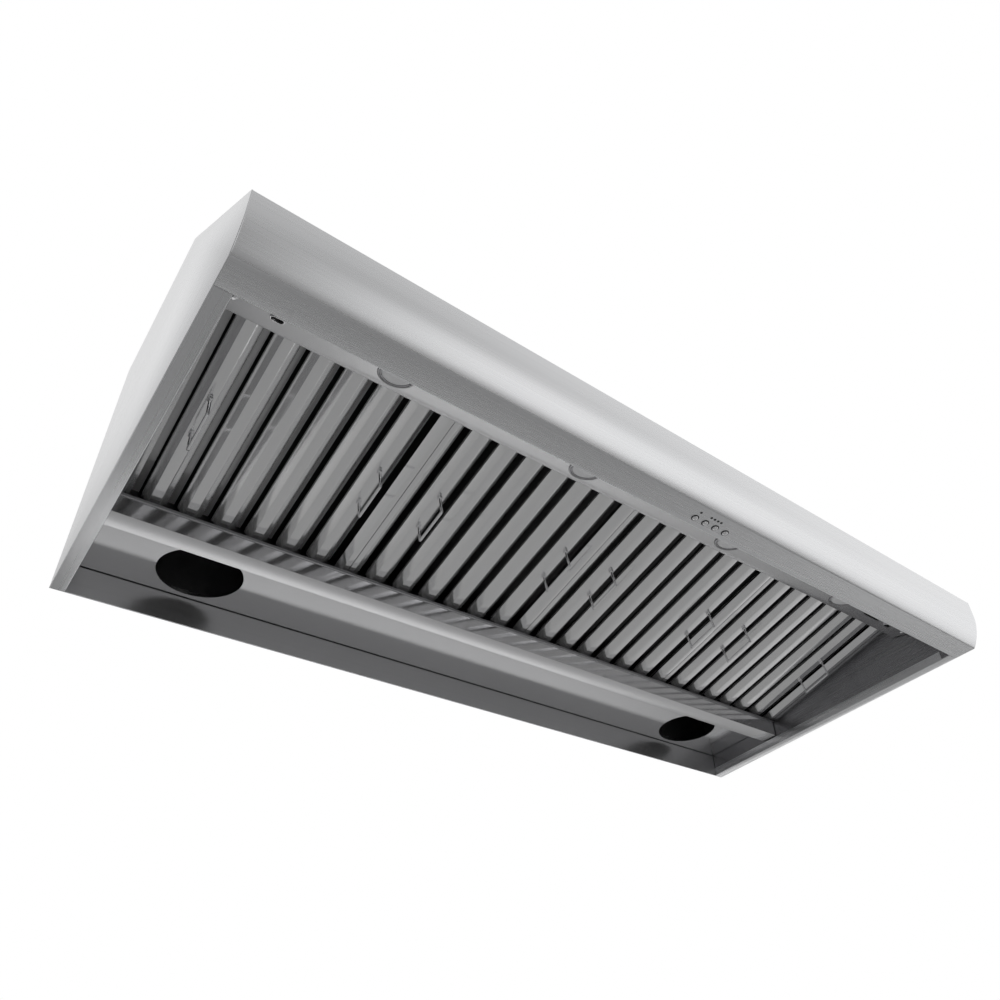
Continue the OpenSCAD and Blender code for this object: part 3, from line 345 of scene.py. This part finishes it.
left_side = side_panel("left_side", -1)
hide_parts("left_side_panel")
right_side = side_panel("right_side", 1)
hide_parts("right_side_panel")
side_steel = brushed("brushed_stainless_sides", (0.735, 0.738, 0.748), 0.28, along=(0, 1, 0), cloud=0.14)
give(side_steel, left_side, right_side)

# Top and back panels: flat sheets that close the body. The top is stainless, the back is zinc
# coated and faces the wall. Their shapes are the frame's own.
# The zinc tone is set below bare zinc coated sheet's grey: partly the sheet's own, partly painted shade for
# the parts inside the hood.
galvanised = brushed("zinc_coated_sheet", (0.42, 0.43, 0.44), 0.42, along=(0, 0, 0), depth=0.02,
                     cloud=0.16, clouds=60.0, streaks=60)
# Near black zinc for the plenum divider and the light cans: their dark tone is painted shade inside the
# hood.
shade_dark_zinc = brushed("zinc_coated_sheet_painted_shade", (0.10, 0.10, 0.10), 0.5, along=(0, 0, 0), depth=0.02,
                     cloud=0.2, clouds=40.0, streaks=60)
give(outer_steel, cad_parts["top_panel"])
give(galvanised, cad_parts["back_panel"])
give(shade_dark_zinc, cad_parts["plenum_divider"])

# Inner side sheets, rear skirt and rear panel: thinner stainless with a satin finish, in tones set darker
# than the outer sheet's as painted shade, the liners' much darker. The rear panel is polished harder and
# mirrors the skirt behind it.
# The liners' dark tone is painted shade: the same stainless as outside, set much darker.
shaded_inner_steel = brushed("satin_stainless_inner_painted_shade", (0.31, 0.31, 0.32), 0.26, along=(0, 1, 0), metal=0.85,
                      cloud=0.03)
# The skirt's and the rear panel's tones are set a little darker than the outer sheet's, as painted shade
# under the canopy.
skirt_steel = brushed("satin_stainless_skirt", (0.68, 0.68, 0.69), 0.30, metal=0.85)
panel_steel = brushed("polished_stainless_panel", (0.62, 0.62, 0.63), 0.12, metal=0.85)
give(shaded_inner_steel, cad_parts["left_liner"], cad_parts["right_liner"])
give(skirt_steel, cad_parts["rear_skirt"])
give(panel_steel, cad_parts["lamp_panel"])

# Drip trough: a narrow gutter of bright stainless under the filters' rear ends, with its front edge
# folded over forwards and its ends capped.
trough_back = -153.9 * mm
trough_front = trough_back - 34 * mm
TROUGH_FLOOR = 19.5 * mm
LEDGE = 20 * mm
FILTER_Y = -523 * mm
FILTER_Z = 127 * mm
TILT = math.atan(75.5 / 358.1)


def face_height(y):
    return FILTER_Z - (y - FILTER_Y) * math.tan(TILT) - 0.3 * mm


trough_line = depth_line([(trough_front - 5 * mm, 50 * mm), (trough_front, 50 * mm),
                          (trough_front, TROUGH_FLOOR), (trough_back, TROUGH_FLOOR),
                          (trough_back, face_height(trough_back)),
                          (trough_back - LEDGE, face_height(trough_back - LEDGE))])
STRIP_HALF = 664.6 * mm
trough = sheet_strip("drip_gutter", trough_line, (-STRIP_HALF, 0, 0), (STRIP_HALF, 0, 0), INNER_T,
                     bend=0.5 * mm)
caps = []
for sign in (-1, 1):
    bpy.ops.object.select_all(action="DESELECT")
    cap_place = (sign * (STRIP_HALF - INNER_T / 2), trough_front + 17 * mm, 34 * mm + RIM)
    bpy.ops.mesh.primitive_cube_add(size=1, location=cap_place, scale=(INNER_T, 33 * mm, 27.4 * mm))
    caps.append(bpy.context.active_object)
for cap in caps:
    cap.select_set(True)
trough.select_set(True)
bpy.context.view_layer.objects.active = trough
bpy.ops.object.join()
settle(trough)
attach(trough, "canopy")
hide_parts("drip_trough")
trough_steel = brushed("bright_stainless_gutter", (0.74, 0.74, 0.75), 0.10, metal=0.85)
# The folded front lip is set dark: painted shade under the fold.
lip_shade_steel = brushed("gutter_lip_painted_shade", (0.30, 0.30, 0.31), 0.3, metal=0.85)
give(trough_steel, trough)


def second_finish(piece, material, chosen):
    """Gives another finish to the faces that a test of their centre and normal picks."""
    piece.data.materials.append(material)
    for face in piece.data.polygons:
        if chosen(face.center, face.normal):
            face.material_index = len(piece.data.materials) - 1


# The faces of the lip folded forward get the painted shade.
second_finish(trough, lip_shade_steel, lambda at, facing: at.y < trough_front - 0.6 * mm)

# Light strip: a tilted stainless panel behind the front flange, folded up at its rear edge, where the
# filters rest. It carries the lights, two catches and two screws.
strip_rear = MOUTH + 94.5 * mm
strip_rear_z = 91 * mm
strip_front = MOUTH - OUTER_T
STRIP_TILT = math.radians(14.7)
strip_front_z = strip_rear_z - (strip_rear - strip_front) * math.tan(STRIP_TILT)
strip_line = depth_line([(strip_front, OUTER_T), (strip_front, strip_front_z), (strip_rear, strip_rear_z),
                         (strip_rear, face_height(strip_rear)),
                         (strip_rear - LEDGE, face_height(strip_rear - LEDGE))])
light_strip = sheet_strip("light_strip_panel", strip_line, (-STRIP_HALF, 0, 0), (STRIP_HALF, 0, 0), INNER_T,
                          bend=0.8 * mm)
LIGHT_X = [(i - 1.5) * 301.533 * mm for i in range(4)]
LIGHT_Y = FRONT + 101 * mm
strip_up = Vector((0, -math.sin(STRIP_TILT), math.cos(STRIP_TILT)))


def on_strip(x, y=LIGHT_Y):
    return Vector((x, y, strip_rear_z - (strip_rear - y) * math.tan(STRIP_TILT) + RIM))


drill(light_strip, [on_strip(x) for x in LIGHT_X], 22.5 * mm, THROUGH, axis=strip_up, segments=64)
FITTING_Y = LIGHT_Y + 7 * mm
slot_place = on_strip(HALF - 134.5 * mm, FITTING_Y)
bpy.ops.object.select_all(action="DESELECT")
bpy.ops.mesh.primitive_cube_add(size=1, location=slot_place, rotation=(STRIP_TILT, 0, 0),
                                scale=(44 * mm, 5 * mm, 6 * mm))
slot_cutter = bpy.context.active_object
apply_modifier(light_strip, "BOOLEAN", operation="DIFFERENCE", object=slot_cutter, solver="EXACT")
bpy.data.objects.remove(slot_cutter)
settle(light_strip)
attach(light_strip, "canopy")
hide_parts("light_strip")
strip_steel = brushed("satin_stainless_strip", (0.72, 0.72, 0.73), 0.20, metal=0.85)
give(strip_steel, light_strip)

# Lights: a pressed chrome ring round a frosted lens, each in a zinc coated can behind the strip.
def polished(name, tone=(0.86, 0.86, 0.87), roughness=0.08):
    """Chrome: bright, with faint smears that dull it in places."""
    finish = Finish(name)
    place = finish.node("ShaderNodeTexCoord", output=3)
    smear = finish.node("ShaderNodeTexNoise", inputs={"Vector": place, "Scale": 90.0, "Detail": 3.0})
    shade = finish.node("ShaderNodeMix", {"data_type": "RGBA"},
                        {0: smear, 6: (*[c * 0.94 for c in tone], 1), 7: (*tone, 1)}, output=2)
    bump = finish.node("ShaderNodeBump", inputs={"Height": smear, "Strength": 0.02, "Distance": 0.0005})
    return finish.surface(Base_Color=shade, Metallic=1.0, Normal=bump,
                          Roughness=smear * 0.08 + (roughness - 0.03))


chrome = polished("polished_chrome")


def lathe(name, outline, centre, up, steps=64):
    """Spins an outline of radius and height round an axis through the centre."""
    bpy.ops.object.select_all(action="DESELECT")
    bpy.ops.mesh.primitive_plane_add(size=1)
    piece = bpy.context.active_object
    piece.name = piece.data.name = name
    mesh = mesh_edit(piece)
    bmesh.ops.delete(mesh, geom=list(mesh.verts), context="VERTS")
    verts = [mesh.verts.new((r, 0, h)) for r, h in outline]
    for a, b in zip(verts, verts[1:]):
        mesh.edges.new((a, b))
    bpy.ops.mesh.select_all(action="SELECT")
    bmesh.update_edit_mesh(piece.data)
    bpy.ops.mesh.spin(steps=steps, angle=math.tau, center=(0, 0, 0), axis=(0, 0, 1))
    bpy.ops.mesh.select_all(action="SELECT")
    bpy.ops.mesh.remove_doubles(threshold=1e-6)
    bpy.ops.mesh.normals_make_consistent(inside=False)
    mesh_done(piece)
    turn = Vector((0, 0, 1)).rotation_difference(Vector(up))
    piece.rotation_mode = "QUATERNION"
    piece.rotation_quaternion = turn
    piece.location = centre
    return settle(piece)


ring_profile = [(20, 0), (20, -1.2), (20.4, -1.75), (21, -1.75), (21.5, -1.3), (22, -1.2), (22.3, -1.9),
                (22.9, -2.2), (24, -2), (24.8, -1.2), (25, -0.4), (25, 0), (20, 0)]
ring_outline = [(r * mm, h * mm) for r, h in ring_profile]
lens_profile = [(0, 2), (21, 2), (21, 0.2), (19.9, 0), (19.6, -0.7), (18.8, -1.2), (17.5, -1.5),
                (13, -1.8), (7, -1.95), (0, -2)]
lens_outline = [(r * mm, h * mm) for r, h in lens_profile]
rings, lenses = [], []
for i, x in enumerate(LIGHT_X):
    rings.append(lathe(f"light_ring_{i + 1}", ring_outline, on_strip(x), strip_up))
    lenses.append(lathe(f"light_lens_{i + 1}", lens_outline, on_strip(x), strip_up))
lens_finish = Finish("frosted_lens")
lens_place = lens_finish.node("ShaderNodeTexCoord", output=3)
frost = lens_finish.node("ShaderNodeTexNoise", inputs={"Vector": lens_place, "Scale": 700.0, "Detail": 2.0})
frost_bump = lens_finish.node("ShaderNodeBump",
                              inputs={"Height": frost, "Strength": 0.15, "Distance": 0.0003})
frosted = lens_finish.surface(Base_Color=(0.90, 0.90, 0.91, 1), Roughness=frost * 0.2 + 0.25,
                              Normal=frost_bump)
for ring, lens in zip(rings, lenses):
    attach(ring, "canopy")
    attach(lens, "canopy")
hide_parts("light_bezels")
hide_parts("light_lenses")
# The rings are chrome given a dark tone: painted reflection of the dark surroundings they mirror.
dark_ring_steel = polished("chrome_ring_painted_reflection", (0.42, 0.42, 0.43), 0.14)
give(dark_ring_steel, *rings)
give(frosted, *lenses)
# The light cans get the near black zinc, as painted shade behind the strip.
give(shade_dark_zinc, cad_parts["light_cans"])

# Strip catches: a pressed chrome oval near each end of the light strip, black inside, with the dark
# head of a quarter-turn stud. The frame's screws get the same chrome.
def joined(name, pieces):
    bpy.ops.object.select_all(action="DESELECT")
    for piece in pieces:
        piece.select_set(True)
    bpy.context.view_layer.objects.active = pieces[0]
    if len(pieces) > 1:
        bpy.ops.object.join()
    pieces[0].name = pieces[0].data.name = name
    return pieces[0]


def oval_rim(name, width, depth, wall, height):
    """A circle is pulled apart to an oval, drawn down, inset to the wall and hollowed."""
    bpy.ops.object.select_all(action="DESELECT")
    bpy.ops.mesh.primitive_circle_add(vertices=42, radius=depth / 2, fill_type="NGON")
    piece = bpy.context.active_object
    piece.name = piece.data.name = name
    mesh = mesh_edit(piece)
    for vert in mesh.verts:
        vert.co.x += math.copysign((width - depth) / 2, vert.co.x)
    bpy.ops.mesh.select_all(action="SELECT")
    bmesh.update_edit_mesh(piece.data)
    bpy.ops.mesh.extrude_region_move(TRANSFORM_OT_translate={"value": (0, 0, -height)})
    bpy.ops.mesh.inset(thickness=wall)
    bpy.ops.mesh.extrude_region_move(TRANSFORM_OT_translate={"value": (0, 0, height - 0.3 * mm)})
    bpy.ops.mesh.select_all(action="SELECT")
    bpy.ops.mesh.normals_make_consistent(inside=False)
    mesh_done(piece)
    apply_modifier(piece, "BEVEL", width=0.5 * mm, segments=2, limit_method="ANGLE",
                   angle_limit=math.radians(60))
    return piece


# Near black steel for the floor inside each catch's rim and for the stud's head.
pit_black = polished("near_black_steel", (0.02, 0.02, 0.02), 0.3)
stud_profile = [(0, -3.6), (1.8, -3.6), (2.5, -3.2), (2.8, -2.6), (2.8, -0.2), (0, -0.2)]
stud_outline = [(r * mm, h * mm) for r, h in stud_profile]
for sign in (-1, 1):
    rim = oval_rim("catch_rim", 18 * mm, 10 * mm, 1.6 * mm, 2.4 * mm)
    give(chrome, rim)
    second_finish(rim, pit_black, lambda at, facing: at.z > -0.5 * mm and facing.z < -0.9)
    stud = lathe("catch_stud", stud_outline, (4 * mm, 0, 0), (0, 0, 1), steps=24)
    give(pit_black, stud)
    catch = joined(f"strip_catch_{'left' if sign < 0 else 'right'}", [rim, stud])
    catch_place = Matrix.Translation(on_strip(sign * (HALF - 83.5 * mm), FITTING_Y))
    catch.matrix_world = catch_place @ Matrix.Rotation(STRIP_TILT, 4, "X")
    settle(catch)
    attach(catch, "canopy")
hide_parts("strip_catches")
give(chrome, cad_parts["screws"])

# Filter frames: each is a stainless box open below and above. Its long sides are folded like half
# baffles, its ends are channels that take the baffles' ends.
FILTER_GAP = 0.6 * mm
FILTER_W = (2 * 667 * mm - 5 * FILTER_GAP) / 4
FILTER_L = 358.1 * mm / math.cos(TILT)
FILTER_T = 40 * mm
SLOTS = 7
PITCH = 47.1 * mm
FIRST_SLOT = (FILTER_W - (SLOTS - 1) * PITCH) / 2
SLOPE_W = 10.2 * mm
SLOPE_H = 9.1 * mm
RAIL_FLAT = FIRST_SLOT - 13.5 / 2 * mm - SLOPE_W
FILTER_X = [-667 * mm + FILTER_GAP + k * (FILTER_W + FILTER_GAP) for k in range(4)]


def on_filter(piece, k):
    """Turns a piece made flat to the filters' slope and puts it on filter k."""
    place = Matrix.Translation((FILTER_X[k], FILTER_Y, FILTER_Z + RIM))
    piece.matrix_world = place @ Matrix.Rotation(-TILT, 4, "X")
    return settle(piece)


FILTER_BEND = 0.7 * mm


def width_line(points):
    return [Vector((x, 0, z)) for x, z in points]


def filter_sheet(name, line, start=0.0, end=0.0):
    return sheet_strip(name, width_line(line), (0, FILTER_L - end, 0), (0, start, 0), INNER_T,
                       bend=FILTER_BEND)


UPPER_FLANGE = 22 * mm
LOWER_FLANGE = 16 * mm
rail = [(UPPER_FLANGE, FILTER_T), (0, FILTER_T), (0, 0), (RAIL_FLAT, 0), (RAIL_FLAT + SLOPE_W, SLOPE_H)]
left_rail = filter_sheet("rail", rail)
right_rail = sheet_strip("rail_right", width_line([(FILTER_W - x, z) for x, z in rail]), (0, 0, 0),
                         (0, FILTER_L, 0), INNER_T, bend=FILTER_BEND)
channel = [(UPPER_FLANGE, FILTER_T), (0, FILTER_T), (0, 0), (LOWER_FLANGE, 0)]
front_channel = sheet_strip("channel", [Vector((0, y, z)) for y, z in channel], (INNER_T, 0, 0),
                            (FILTER_W - INNER_T, 0, 0), INNER_T, bend=FILTER_BEND)
rear_channel = sheet_strip("channel_rear", [Vector((0, FILTER_L - y, z)) for y, z in channel],
                           (FILTER_W - INNER_T, 0, 0), (INNER_T, 0, 0), INNER_T, bend=FILTER_BEND)
drains = [(FILTER_W * i / 6, FILTER_L - LOWER_FLANGE, 0) for i in range(1, 6)]
drill(rear_channel, drains, 2.5 * mm, THROUGH, segments=20)
frame_master = joined("filter_frame_master", [left_rail, right_rail, front_channel, rear_channel])
# Filter steel: the same stainless as the shell, set lighter in tone as painted light.
lit_filter_steel = brushed("satin_stainless_filter_painted_light", (0.94, 0.94, 0.95), 0.10, along=(0, 1, 0), metal=0.8,
                       cloud=0.06, clouds=9.0)
# Near black steel: painted shade on the inner faces of the frames and the rear baffles, where the slots are
# dark.
shade_black_steel = brushed("stainless_painted_shade", (0.07, 0.07, 0.07), 0.35, along=(0, 1, 0))
give(lit_filter_steel, frame_master)
# The frame's faces that don't face down get the painted shade.
second_finish(frame_master, shade_black_steel, lambda at, facing: facing.z > -0.3)


def copy_of(master, name):
    piece = master.copy()
    piece.data = master.data.copy()
    piece.name = piece.data.name = name
    bpy.context.scene.collection.objects.link(piece)
    return piece


for k in range(4):
    piece = on_filter(copy_of(frame_master, f"frame_{k + 1}"), k)
    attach(piece, f"filter_{k + 1}")
    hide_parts(f"filter_frame_{k + 1}")

# Front baffles: six folded channels a filter, with a flat face, sloping sides and short straight
# lips. They are spot welded to the front channel and end over the trough's lip.
def baffle(name, x, z, flip, lip):
    flat = 6.6 * mm
    side = flat + SLOPE_W
    line = [(-side, SLOPE_H + lip), (-side, SLOPE_H), (-flat, 0), (flat, 0), (side, SLOPE_H),
            (side, SLOPE_H + lip)]
    if flip:
        line = [(-a, -b) for a, b in line]
    return filter_sheet(name, [(x + a, z + b) for a, b in line], INNER_T, INNER_T if flip else 18.5 * mm)


def baffle_x(i):
    return FIRST_SLOT + (i + 0.5) * PITCH


front_set = [baffle(f"front_{i}", baffle_x(i), INNER_T, False, 4 * mm) for i in range(SLOTS - 1)]
front_master = joined("front_baffle_master", front_set)
give(lit_filter_steel, front_master)
# The baffles' left-facing undersides get a whiter, more diffuse steel: painted light on one side of the same
# sheet.
lit_slope_steel = brushed("stainless_slopes_painted_light", (1.0, 1.0, 1.0), 0.14, along=(0, 1, 0), metal=0.75)
second_finish(front_master, lit_slope_steel, lambda at, facing: facing.x < -0.5 and facing.z < -0.5)

# Handle loops: short sleeves welded under the first and the last full baffle of each filter.
PIVOT = -2.26 * mm
HANDLE_Y = [146.98 * mm, 218.98 * mm]
LOOP_L = 6 * mm
LOOP_GAP = 2.3 * mm
loop_hole, loop_rim = 2.06 * mm, 3.26 * mm
loop_outline = [(loop_hole, 0), (loop_rim, 0), (loop_rim, LOOP_L), (loop_hole, LOOP_L), (loop_hole, 0)]
loops = []
for i in (0, SLOTS - 2):
    for y in (HANDLE_Y[0] + LOOP_GAP, HANDLE_Y[1] - LOOP_GAP - LOOP_L):
        loop = lathe("loop", loop_outline, (baffle_x(i), y, PIVOT), (0, 1, 0), steps=24)
        bpy.ops.mesh.primitive_cube_add(size=1, location=(baffle_x(i), y + LOOP_L / 2, PIVOT + 2.76 * mm),
                                        scale=(5 * mm, LOOP_L, 1.1 * mm))
        loops.append(joined("loop", [loop, bpy.context.active_object]))
        give(chrome, loops[-1])
front_master = joined("front_baffle_master", [front_master] + loops)
for k in range(4):
    piece = on_filter(copy_of(front_master, f"front_baffle_set_{k + 1}"), k)
    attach(piece, f"filter_{k + 1}")
    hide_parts(f"front_baffles_{k + 1}")

# Rear baffles: seven deeper channels a filter, turned over, one behind each slot, so that the air has
# to turn twice and drops its grease.
rear_set = [baffle(f"rear_{i}", FIRST_SLOT + i * PITCH, FILTER_T - INNER_T, True, 8 * mm)
            for i in range(SLOTS)]
rear_master = joined("rear_baffle_master", rear_set)
# The rear baffles' downward flats are near white and mostly diffuse: painted reflection of the floor seen
# through the slots.
rear_lit_steel = brushed("stainless_rear_painted_light", (0.97, 0.97, 0.98), 0.12, along=(0, 1, 0), metal=0.2)
give(rear_lit_steel, rear_master)
# The rear baffles' other faces get the painted shade.
second_finish(rear_master, shade_black_steel, lambda at, facing: facing.z > -0.9)
for k in range(4):
    piece = on_filter(copy_of(rear_master, f"rear_baffle_set_{k + 1}"), k)
    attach(piece, f"filter_{k + 1}")
    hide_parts(f"rear_baffles_{k + 1}")
for master in (frame_master, front_master, rear_master):
    bpy.data.objects.remove(master)

# Folding handles: 4 mm chromed wire bent to a bar with two legs, whose turned-in ends swing in the
# loops.
def wire_handle(name, radius=2 * mm, bend=6 * mm, height=40 * mm):
    bpy.ops.object.select_all(action="DESELECT")
    y0, y1 = HANDLE_Y
    pin = 9.5 * mm
    start = y0 + pin
    bpy.ops.mesh.primitive_circle_add(vertices=16, radius=radius, location=(0, start, 0),
                                      rotation=(math.pi / 2, 0, 0), fill_type="NGON")
    piece = bpy.context.active_object
    piece.name = piece.data.name = name
    bpy.ops.object.transform_apply(location=True, rotation=True)
    mesh_edit(piece)
    bpy.ops.mesh.select_all(action="SELECT")
    corner = 2.6 * mm

    def run(step):
        bpy.ops.mesh.extrude_region_move(TRANSFORM_OT_translate={"value": step})

    def turn(centre, angle):
        bpy.ops.mesh.spin(steps=6, angle=angle, center=centre, axis=(1, 0, 0))

    run((0, -(pin - corner), 0))
    turn((0, y0 + corner, -corner), math.pi / 2)
    run((0, 0, -(height - bend - corner)))
    turn((0, y0 + bend, -height + bend), math.pi / 2)
    run((0, y1 - y0 - 2 * bend, 0))
    turn((0, y1 - bend, -height + bend), math.pi / 2)
    run((0, 0, height - bend - corner))
    turn((0, y1 - corner, -corner), math.pi / 2)
    run((0, -(pin - corner), 0))
    bpy.ops.mesh.select_all(action="SELECT")
    bpy.ops.mesh.remove_doubles(threshold=1e-6)
    bpy.ops.mesh.normals_make_consistent(inside=False)
    mesh_done(piece)
    return piece


handle_master = wire_handle("handle_master")
for k in range(4):
    for side, i in (("left", 0), ("right", SLOTS - 2)):
        piece = copy_of(handle_master, f"wire_handle_{k + 1}_{side}")
        piece.data.transform(Matrix.Translation((baffle_x(i), 0, PIVOT)))
        on_filter(piece, k)
        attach(piece, f"handle_{k + 1}_{side}")
        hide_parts(f"handle_{k + 1}_{side}")
        give(chrome, piece)
bpy.data.objects.remove(handle_master)

# Push buttons: domed chrome caps in black sleeves pressed into the front flange, with the black
# lenses of small indicators in front of them.
def moulded(name, tone, roughness, grain=1200.0):
    """Moulded plastic: nearly one colour, with a very fine texture."""
    finish = Finish(name)
    place = finish.node("ShaderNodeTexCoord", output=3)
    speck = finish.node("ShaderNodeTexNoise", inputs={"Vector": place, "Scale": grain, "Detail": 2.0})
    deep = tuple(c * 0.85 for c in tone)
    pale = tuple(min(1, c * 1.15) for c in tone)
    shade = finish.node("ShaderNodeMix", {"data_type": "RGBA"}, {0: speck, 6: (*deep, 1), 7: (*pale, 1)},
                        output=2)
    bump = finish.node("ShaderNodeBump", inputs={"Height": speck, "Strength": 0.12, "Distance": 0.0002})
    return finish.surface(Base_Color=shade, Roughness=speck * 0.15 + (roughness - 0.07), Normal=bump)


black_plastic = moulded("black_plastic", (0.010, 0.010, 0.011), 0.4)
cap_profile = [(0, -2.2), (1.2, -2.2), (1.6, -2.6), (2.4, -2.5), (3.2, -2.2), (3.9, -1.6), (4.3, -0.9),
               (4.4, -0.3), (4.4, 3.3), (5.4, 3.3), (5.4, 4.5), (2.2, 4.5), (2.2, 10.7), (0, 10.7)]
cap_outline = [(r * mm, h * mm) for r, h in cap_profile]
sleeve_profile = [(4.7, -0.5), (4.9, -0.7), (5.5, -0.7), (5.9, -0.3), (5.9, 0), (5.4, 0), (5.4, 3), (4.7, 3),
                  (4.7, -0.5)]
sleeve_outline = [(r * mm, h * mm) for r, h in sleeve_profile]
sleeves = []
for i, x in enumerate(BUTTON_X):
    cap = lathe(f"button_cap_{i + 1}", cap_outline, (x, BUTTON_Y, RIM), (0, 0, 1), steps=40)
    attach(cap, f"button_{i + 1}")
    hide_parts(f"button_{i + 1}")
    give(chrome, cap)
    sleeves.append(lathe(f"sleeve_{i + 1}", sleeve_outline, (x, BUTTON_Y, RIM), (0, 0, 1), steps=40))
button_sleeves = joined("button_sleeves", sleeves)
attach(button_sleeves, "canopy")
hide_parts("button_bezels")
guide_profile = [(0, -0.3), (1.9, -0.3), (2, 0), (1.65, 0), (1.65, 16), (0, 16)]
guide_outline = [(r * mm, h * mm) for r, h in guide_profile]
guides = [lathe(f"guide_{i + 1}", guide_outline, (x, DOT_Y, RIM), (0, 0, 1), steps=20)
          for i, x in enumerate(DOT_X)]
indicator_lenses = joined("indicator_lenses", guides)
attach(indicator_lenses, "canopy")
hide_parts("indicator_guides")
give(black_plastic, button_sleeves, indicator_lenses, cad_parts["wiring_harness"])
board = moulded("board_lacquer", (0.05, 0.20, 0.09), 0.35)
give(board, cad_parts["switch_board"])

# Lamp straps and holders: a zinc coated strap stands over each lamp hole and carries a glazed
# porcelain holder with a screw socket.
# Straps and holders are near black: painted shade inside the lamp holes.
strap_zinc = brushed("zinc_coated_strap_painted_shade", (0.07, 0.07, 0.07), 0.45, along=(0, 0, 0), depth=0.02,
                     cloud=0.16, clouds=60.0, streaks=60)
porcelain = moulded("glazed_porcelain_painted_shade", (0.10, 0.10, 0.095), 0.25, grain=60.0)
give(strap_zinc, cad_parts["lamp_brackets"])
give(porcelain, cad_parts["lamp_holders"])

# Blower, control box and duct collar: zinc coated sheet, a painted motor, and bright shafts. Their
# shapes are the frame's own.
motor_paint = moulded("motor_enamel", (0.10, 0.10, 0.11), 0.4)
give(galvanised, *[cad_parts[n] for n in ("control_box", "control_lid", "scroll_housing", "impeller",
                                               "motor_mount", "duct_collar", "front_flap", "rear_flap")])
give(motor_paint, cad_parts["motor"])
give(chrome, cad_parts["motor_shaft"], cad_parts["damper_rod"])

# Floor and light: a pale floor well below the hood, two weak softboxes at the front and the left,
# lamps close over the floor whose pools of light the steel mirrors, and a small low lamp that makes the
# chrome glint. The surround is white for the camera; the steel sees it dim at the left, bright at the right.
bpy.ops.object.select_all(action="DESELECT")
FLOOR_Z = -1.9
bpy.ops.mesh.primitive_plane_add(size=13, location=(0, -0.4, FLOOR_Z))
floor = bpy.context.active_object
floor.name = "floor"
floor_finish = Finish("pale_floor")
floor_place = floor_finish.node("ShaderNodeTexCoord", output=3)
dust = floor_finish.node("ShaderNodeTexNoise", inputs={"Vector": floor_place, "Scale": 3.0})
seen = floor_finish.node("ShaderNodeLightPath")
floor_shade = floor_finish.node("ShaderNodeMix", {"data_type": "RGBA"},
                                {0: seen * 0.8 + dust * 0.1, 6: (0.46, 0.46, 0.46, 1),
                                 7: (0.92, 0.92, 0.92, 1)}, output=2)
give(floor_finish.surface(Base_Color=floor_shade, Roughness=0.9), floor)


def softbox(name, place, target, width, height, power):
    data = bpy.data.lights.new(name, "AREA")
    data.shape, data.size, data.size_y, data.energy = "RECTANGLE", width, height, power
    lamp = bpy.data.objects.new(name, data)
    bpy.context.scene.collection.objects.link(lamp)
    lamp.location = place
    lamp.rotation_euler = (Vector(target) - Vector(place)).to_track_quat("-Z", "Y").to_euler()
    lamp.visible_camera = False
    lamp.visible_glossy = False
    return lamp


softbox("front_softbox", (0.6, -3.2, 0.9), (0, -0.5, -0.2), 3.2, 1.6, 22)
softbox("left_softbox", (-3.0, -0.6, 0.6), (0, -0.3, -0.1), 2.2, 1.8, 12)
softbox("right_pool", (2.9, 0.3, -1.0), (2.9, 0.3, -1.9), 2.0, 1.4, 9)
softbox("rear_pool", (0.8, 2.9, -1.0), (0.8, 2.9, -1.9), 4.4, 1.3, 38)
softbox("left_pool", (-3.7, 1.4, -0.9), (-3.7, 1.4, -1.9), 1.4, 2.0, 7)
spark = softbox("low_front_light", (-0.9, -1.9, -1.5), (0, -0.4, -0.3), 0.16, 0.16, 0.3)
spark.visible_glossy = True


class Surround(Finish):
    """The world's nodes, added in the same way as a finish's."""

    def __init__(self, name):
        self.world = bpy.data.worlds.new(name)
        self.world.use_nodes = True
        self.tree = self.world.node_tree
        self.shader = self.tree.nodes["Background"]


surround = Surround("white_surround")
bpy.context.scene.world = surround.world
towards = surround.node("ShaderNodeTexCoord")


def level(direction, low, high, to_low, to_high):
    """A brightness that grows as a ray turns towards a direction."""
    turned = surround.node("ShaderNodeVectorMath", {"operation": "DOT_PRODUCT"},
                           {0: towards, 1: direction}, output=1)
    return surround.node("ShaderNodeMapRange", {"interpolation_type": "SMOOTHSTEP"},
                         {"Value": turned, "From Min": low, "From Max": high, "To Min": to_low,
                          "To Max": to_high})


ahead = level((1, 0, 0), 0.06, 0.32, 0.24, 1.06)
above = level((0.5, 0.5, 0), -0.33, 0.30, 0.50, 1.0)
upwards = level((0, 0, 1), 0.2, 0.72, 0.0, 1.0)
mirrored = ahead + upwards * (above - ahead)
by_camera = surround.node("ShaderNodeLightPath")
by_glossy = surround.node("ShaderNodeLightPath", output=3)
by_glass = surround.node("ShaderNodeLightPath", output=6)
plain = by_camera + by_glass
spread = by_glossy * mirrored + (1 - by_glossy) * 0.4
surround.feed(surround.shader.inputs["Strength"], plain + (1 - plain) * spread)
surround.feed(surround.shader.inputs["Color"], (1, 1, 1, 1))
bpy.context.scene.view_settings.view_transform = "Standard"
